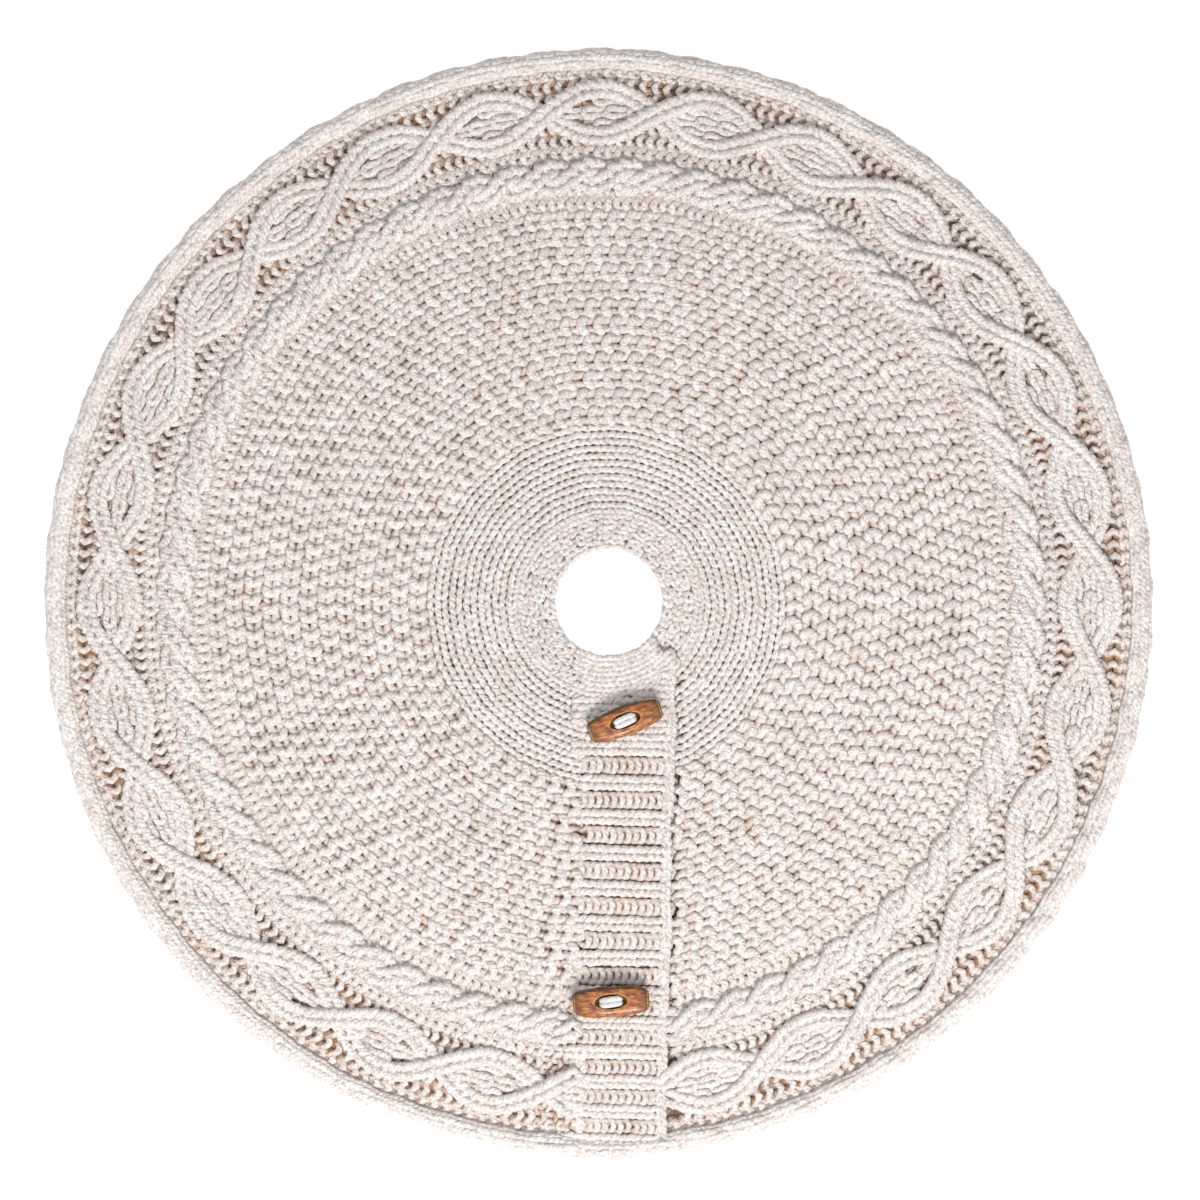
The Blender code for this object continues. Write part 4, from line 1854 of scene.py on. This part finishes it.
    def sheets(self, overlap: Pieces, underlap: Pieces) -> None:
        """Args:
            overlap: The overlap's stitches.
            underlap: The underlap's stitches.
        """
        plan = self.plan
        # Sheets of painted shade, seen only through the gaps between the stitches.
        shade_sheet = ShadeSheet(plan, self.cloth)
        whole = math.pi * (plan.rim_radius ** 2 - plan.hole_radius ** 2)
        band_length = plan.rim_radius - plan.hole_radius
        width = plan.band_right - plan.band_left
        main_shade_sheet = self._join(shade_sheet.round_cloth(self.ground), "skirt", "cable_knit")
        whole - width * band_length
        right = plan.band_right - 4 * MM
        upper_shade_sheet = shade_sheet.strip("overlap_shade_sheet", plan.band_left, right, self.overlap_shade_sheet_height, self.ground)
        self._overlap(upper_shade_sheet, "overlap_middle")
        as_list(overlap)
        under_width = plan.band_right - plan.underlap_left
        left = plan.underlap_left + 2 * MM
        lower_shade_sheet = shade_sheet.strip("underlap_shade_sheet", left, plan.band_right, self.underlap_shade_sheet_height, self.ground)
        self._join(lower_shade_sheet, "skirt", "rib_knit")
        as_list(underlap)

    def toggles(self) -> None:
        """Carves both toggles and sews them on."""
        for seed, side in enumerate(("inner", "outer")):
            toggle = ToggleSet(self.plan, side, seed, fullness=2.0 + 1.8 * seed)
            self._join(toggle.bar(self.wood), f"{side}_bar", "toggle_wood", f"{side}_toggle")
            for make, body, node in (
                (toggle.stitch, f"{side}_bar", "toggle_stitch"), (toggle.shank, f"{side}_yarn", "shank"),
                (toggle.knot, "skirt", "yarn_knot"),
            ):
                self._join(make(self.white_yarn), body, "toggle_yarn", f"{side}_{node}")


# The studio.


@dataclass
class Studio:
    """A white floor, soft light and a camera that looks straight down."""

    plan: Plan
    rim_share: float = 1105 / 1200
    camera_height: float = 6.0
    sensor: float = 36.0
    aim: tuple[float, float] = (0.00124, 0.00248)
    sky: Colour = (0.97, 0.98, 1.0)
    sky_strength: float = 0.42
    floor: Colour = (0.93, 0.93, 0.935)

    def build(self) -> None:
        """Makes the floor, the lights, the world and the camera."""
        self._floor()
        self._area("key", (0.5, -2.2, 2.6), 0.9, 98.0, (1.0, 0.985, 0.965))
        self._area("side", (-2.4, -0.4, 2.4), 1.8, 20.0, (0.96, 0.98, 1.0))
        self._area("top", (0.2, 0.6, 3.4), 2.4, 16.0, (1.0, 1.0, 1.0))
        self._world()
        self._camera()
        view = bpy.context.scene.view_settings
        view.view_transform = "Standard"
        view.look = "None"
        view.exposure = 0.0

    def _floor(self) -> None:
        """A wide matt floor under the skirt."""
        shape = bmesh.new()
        bmesh.ops.create_grid(shape, x_segments=4, y_segments=4, size=6.0)
        linked("floor", shape, PlainFinish("studio_floor", self.floor).build())

    def _area(self, name: str, place: Triple, size: float, power: float, colour: Colour) -> None:
        """Adds an area light that faces the skirt.

        Args:
            name: The light's name.
            place: Where it hangs.
            size: Its side.
            power: Its power in watts.
            colour: Its colour.
        """
        light = bpy.data.lights.new(name, "AREA")
        light.size = size
        light.energy = power
        light.color = colour
        obj = bpy.data.objects.new(name, light)
        obj.location = place
        obj.rotation_euler = (-Vector(place)).to_track_quat("-Z", "Y").to_euler()
        bpy.context.scene.collection.objects.link(obj)

    def _world(self) -> None:
        """A pale even sky."""
        world = bpy.data.worlds.new("studio")
        world.use_nodes = True
        background = world.node_tree.nodes["Background"]
        background.inputs["Color"].default_value = (*self.sky, 1)
        background.inputs["Strength"].default_value = self.sky_strength
        bpy.context.scene.world = world

    def _camera(self) -> None:
        """A long lens straight above, framed on the whole rim."""
        width = 2 * self.plan.rim_radius / self.rim_share
        camera = bpy.data.cameras.new("camera")
        camera.sensor_width = self.sensor
        camera.lens = self.sensor * self.camera_height / width
        camera.clip_end = 50.0
        obj = bpy.data.objects.new("camera", camera)
        obj.location = (*self.aim, self.camera_height)
        bpy.context.scene.collection.objects.link(obj)
        bpy.context.scene.camera = obj


def main() -> None:
    """Builds the skirt and the studio."""
    logging.basicConfig(level=logging.INFO, format="%(message)s")
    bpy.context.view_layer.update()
    Studio(Plan()).build()
    skirt = TreeSkirt()
    cloth = skirt.round_cloth()
    overlap, underlap = skirt.closure()
    skirt.sheets(overlap, underlap)
    skirt.toggles()


if __name__ == "__main__":
    main()
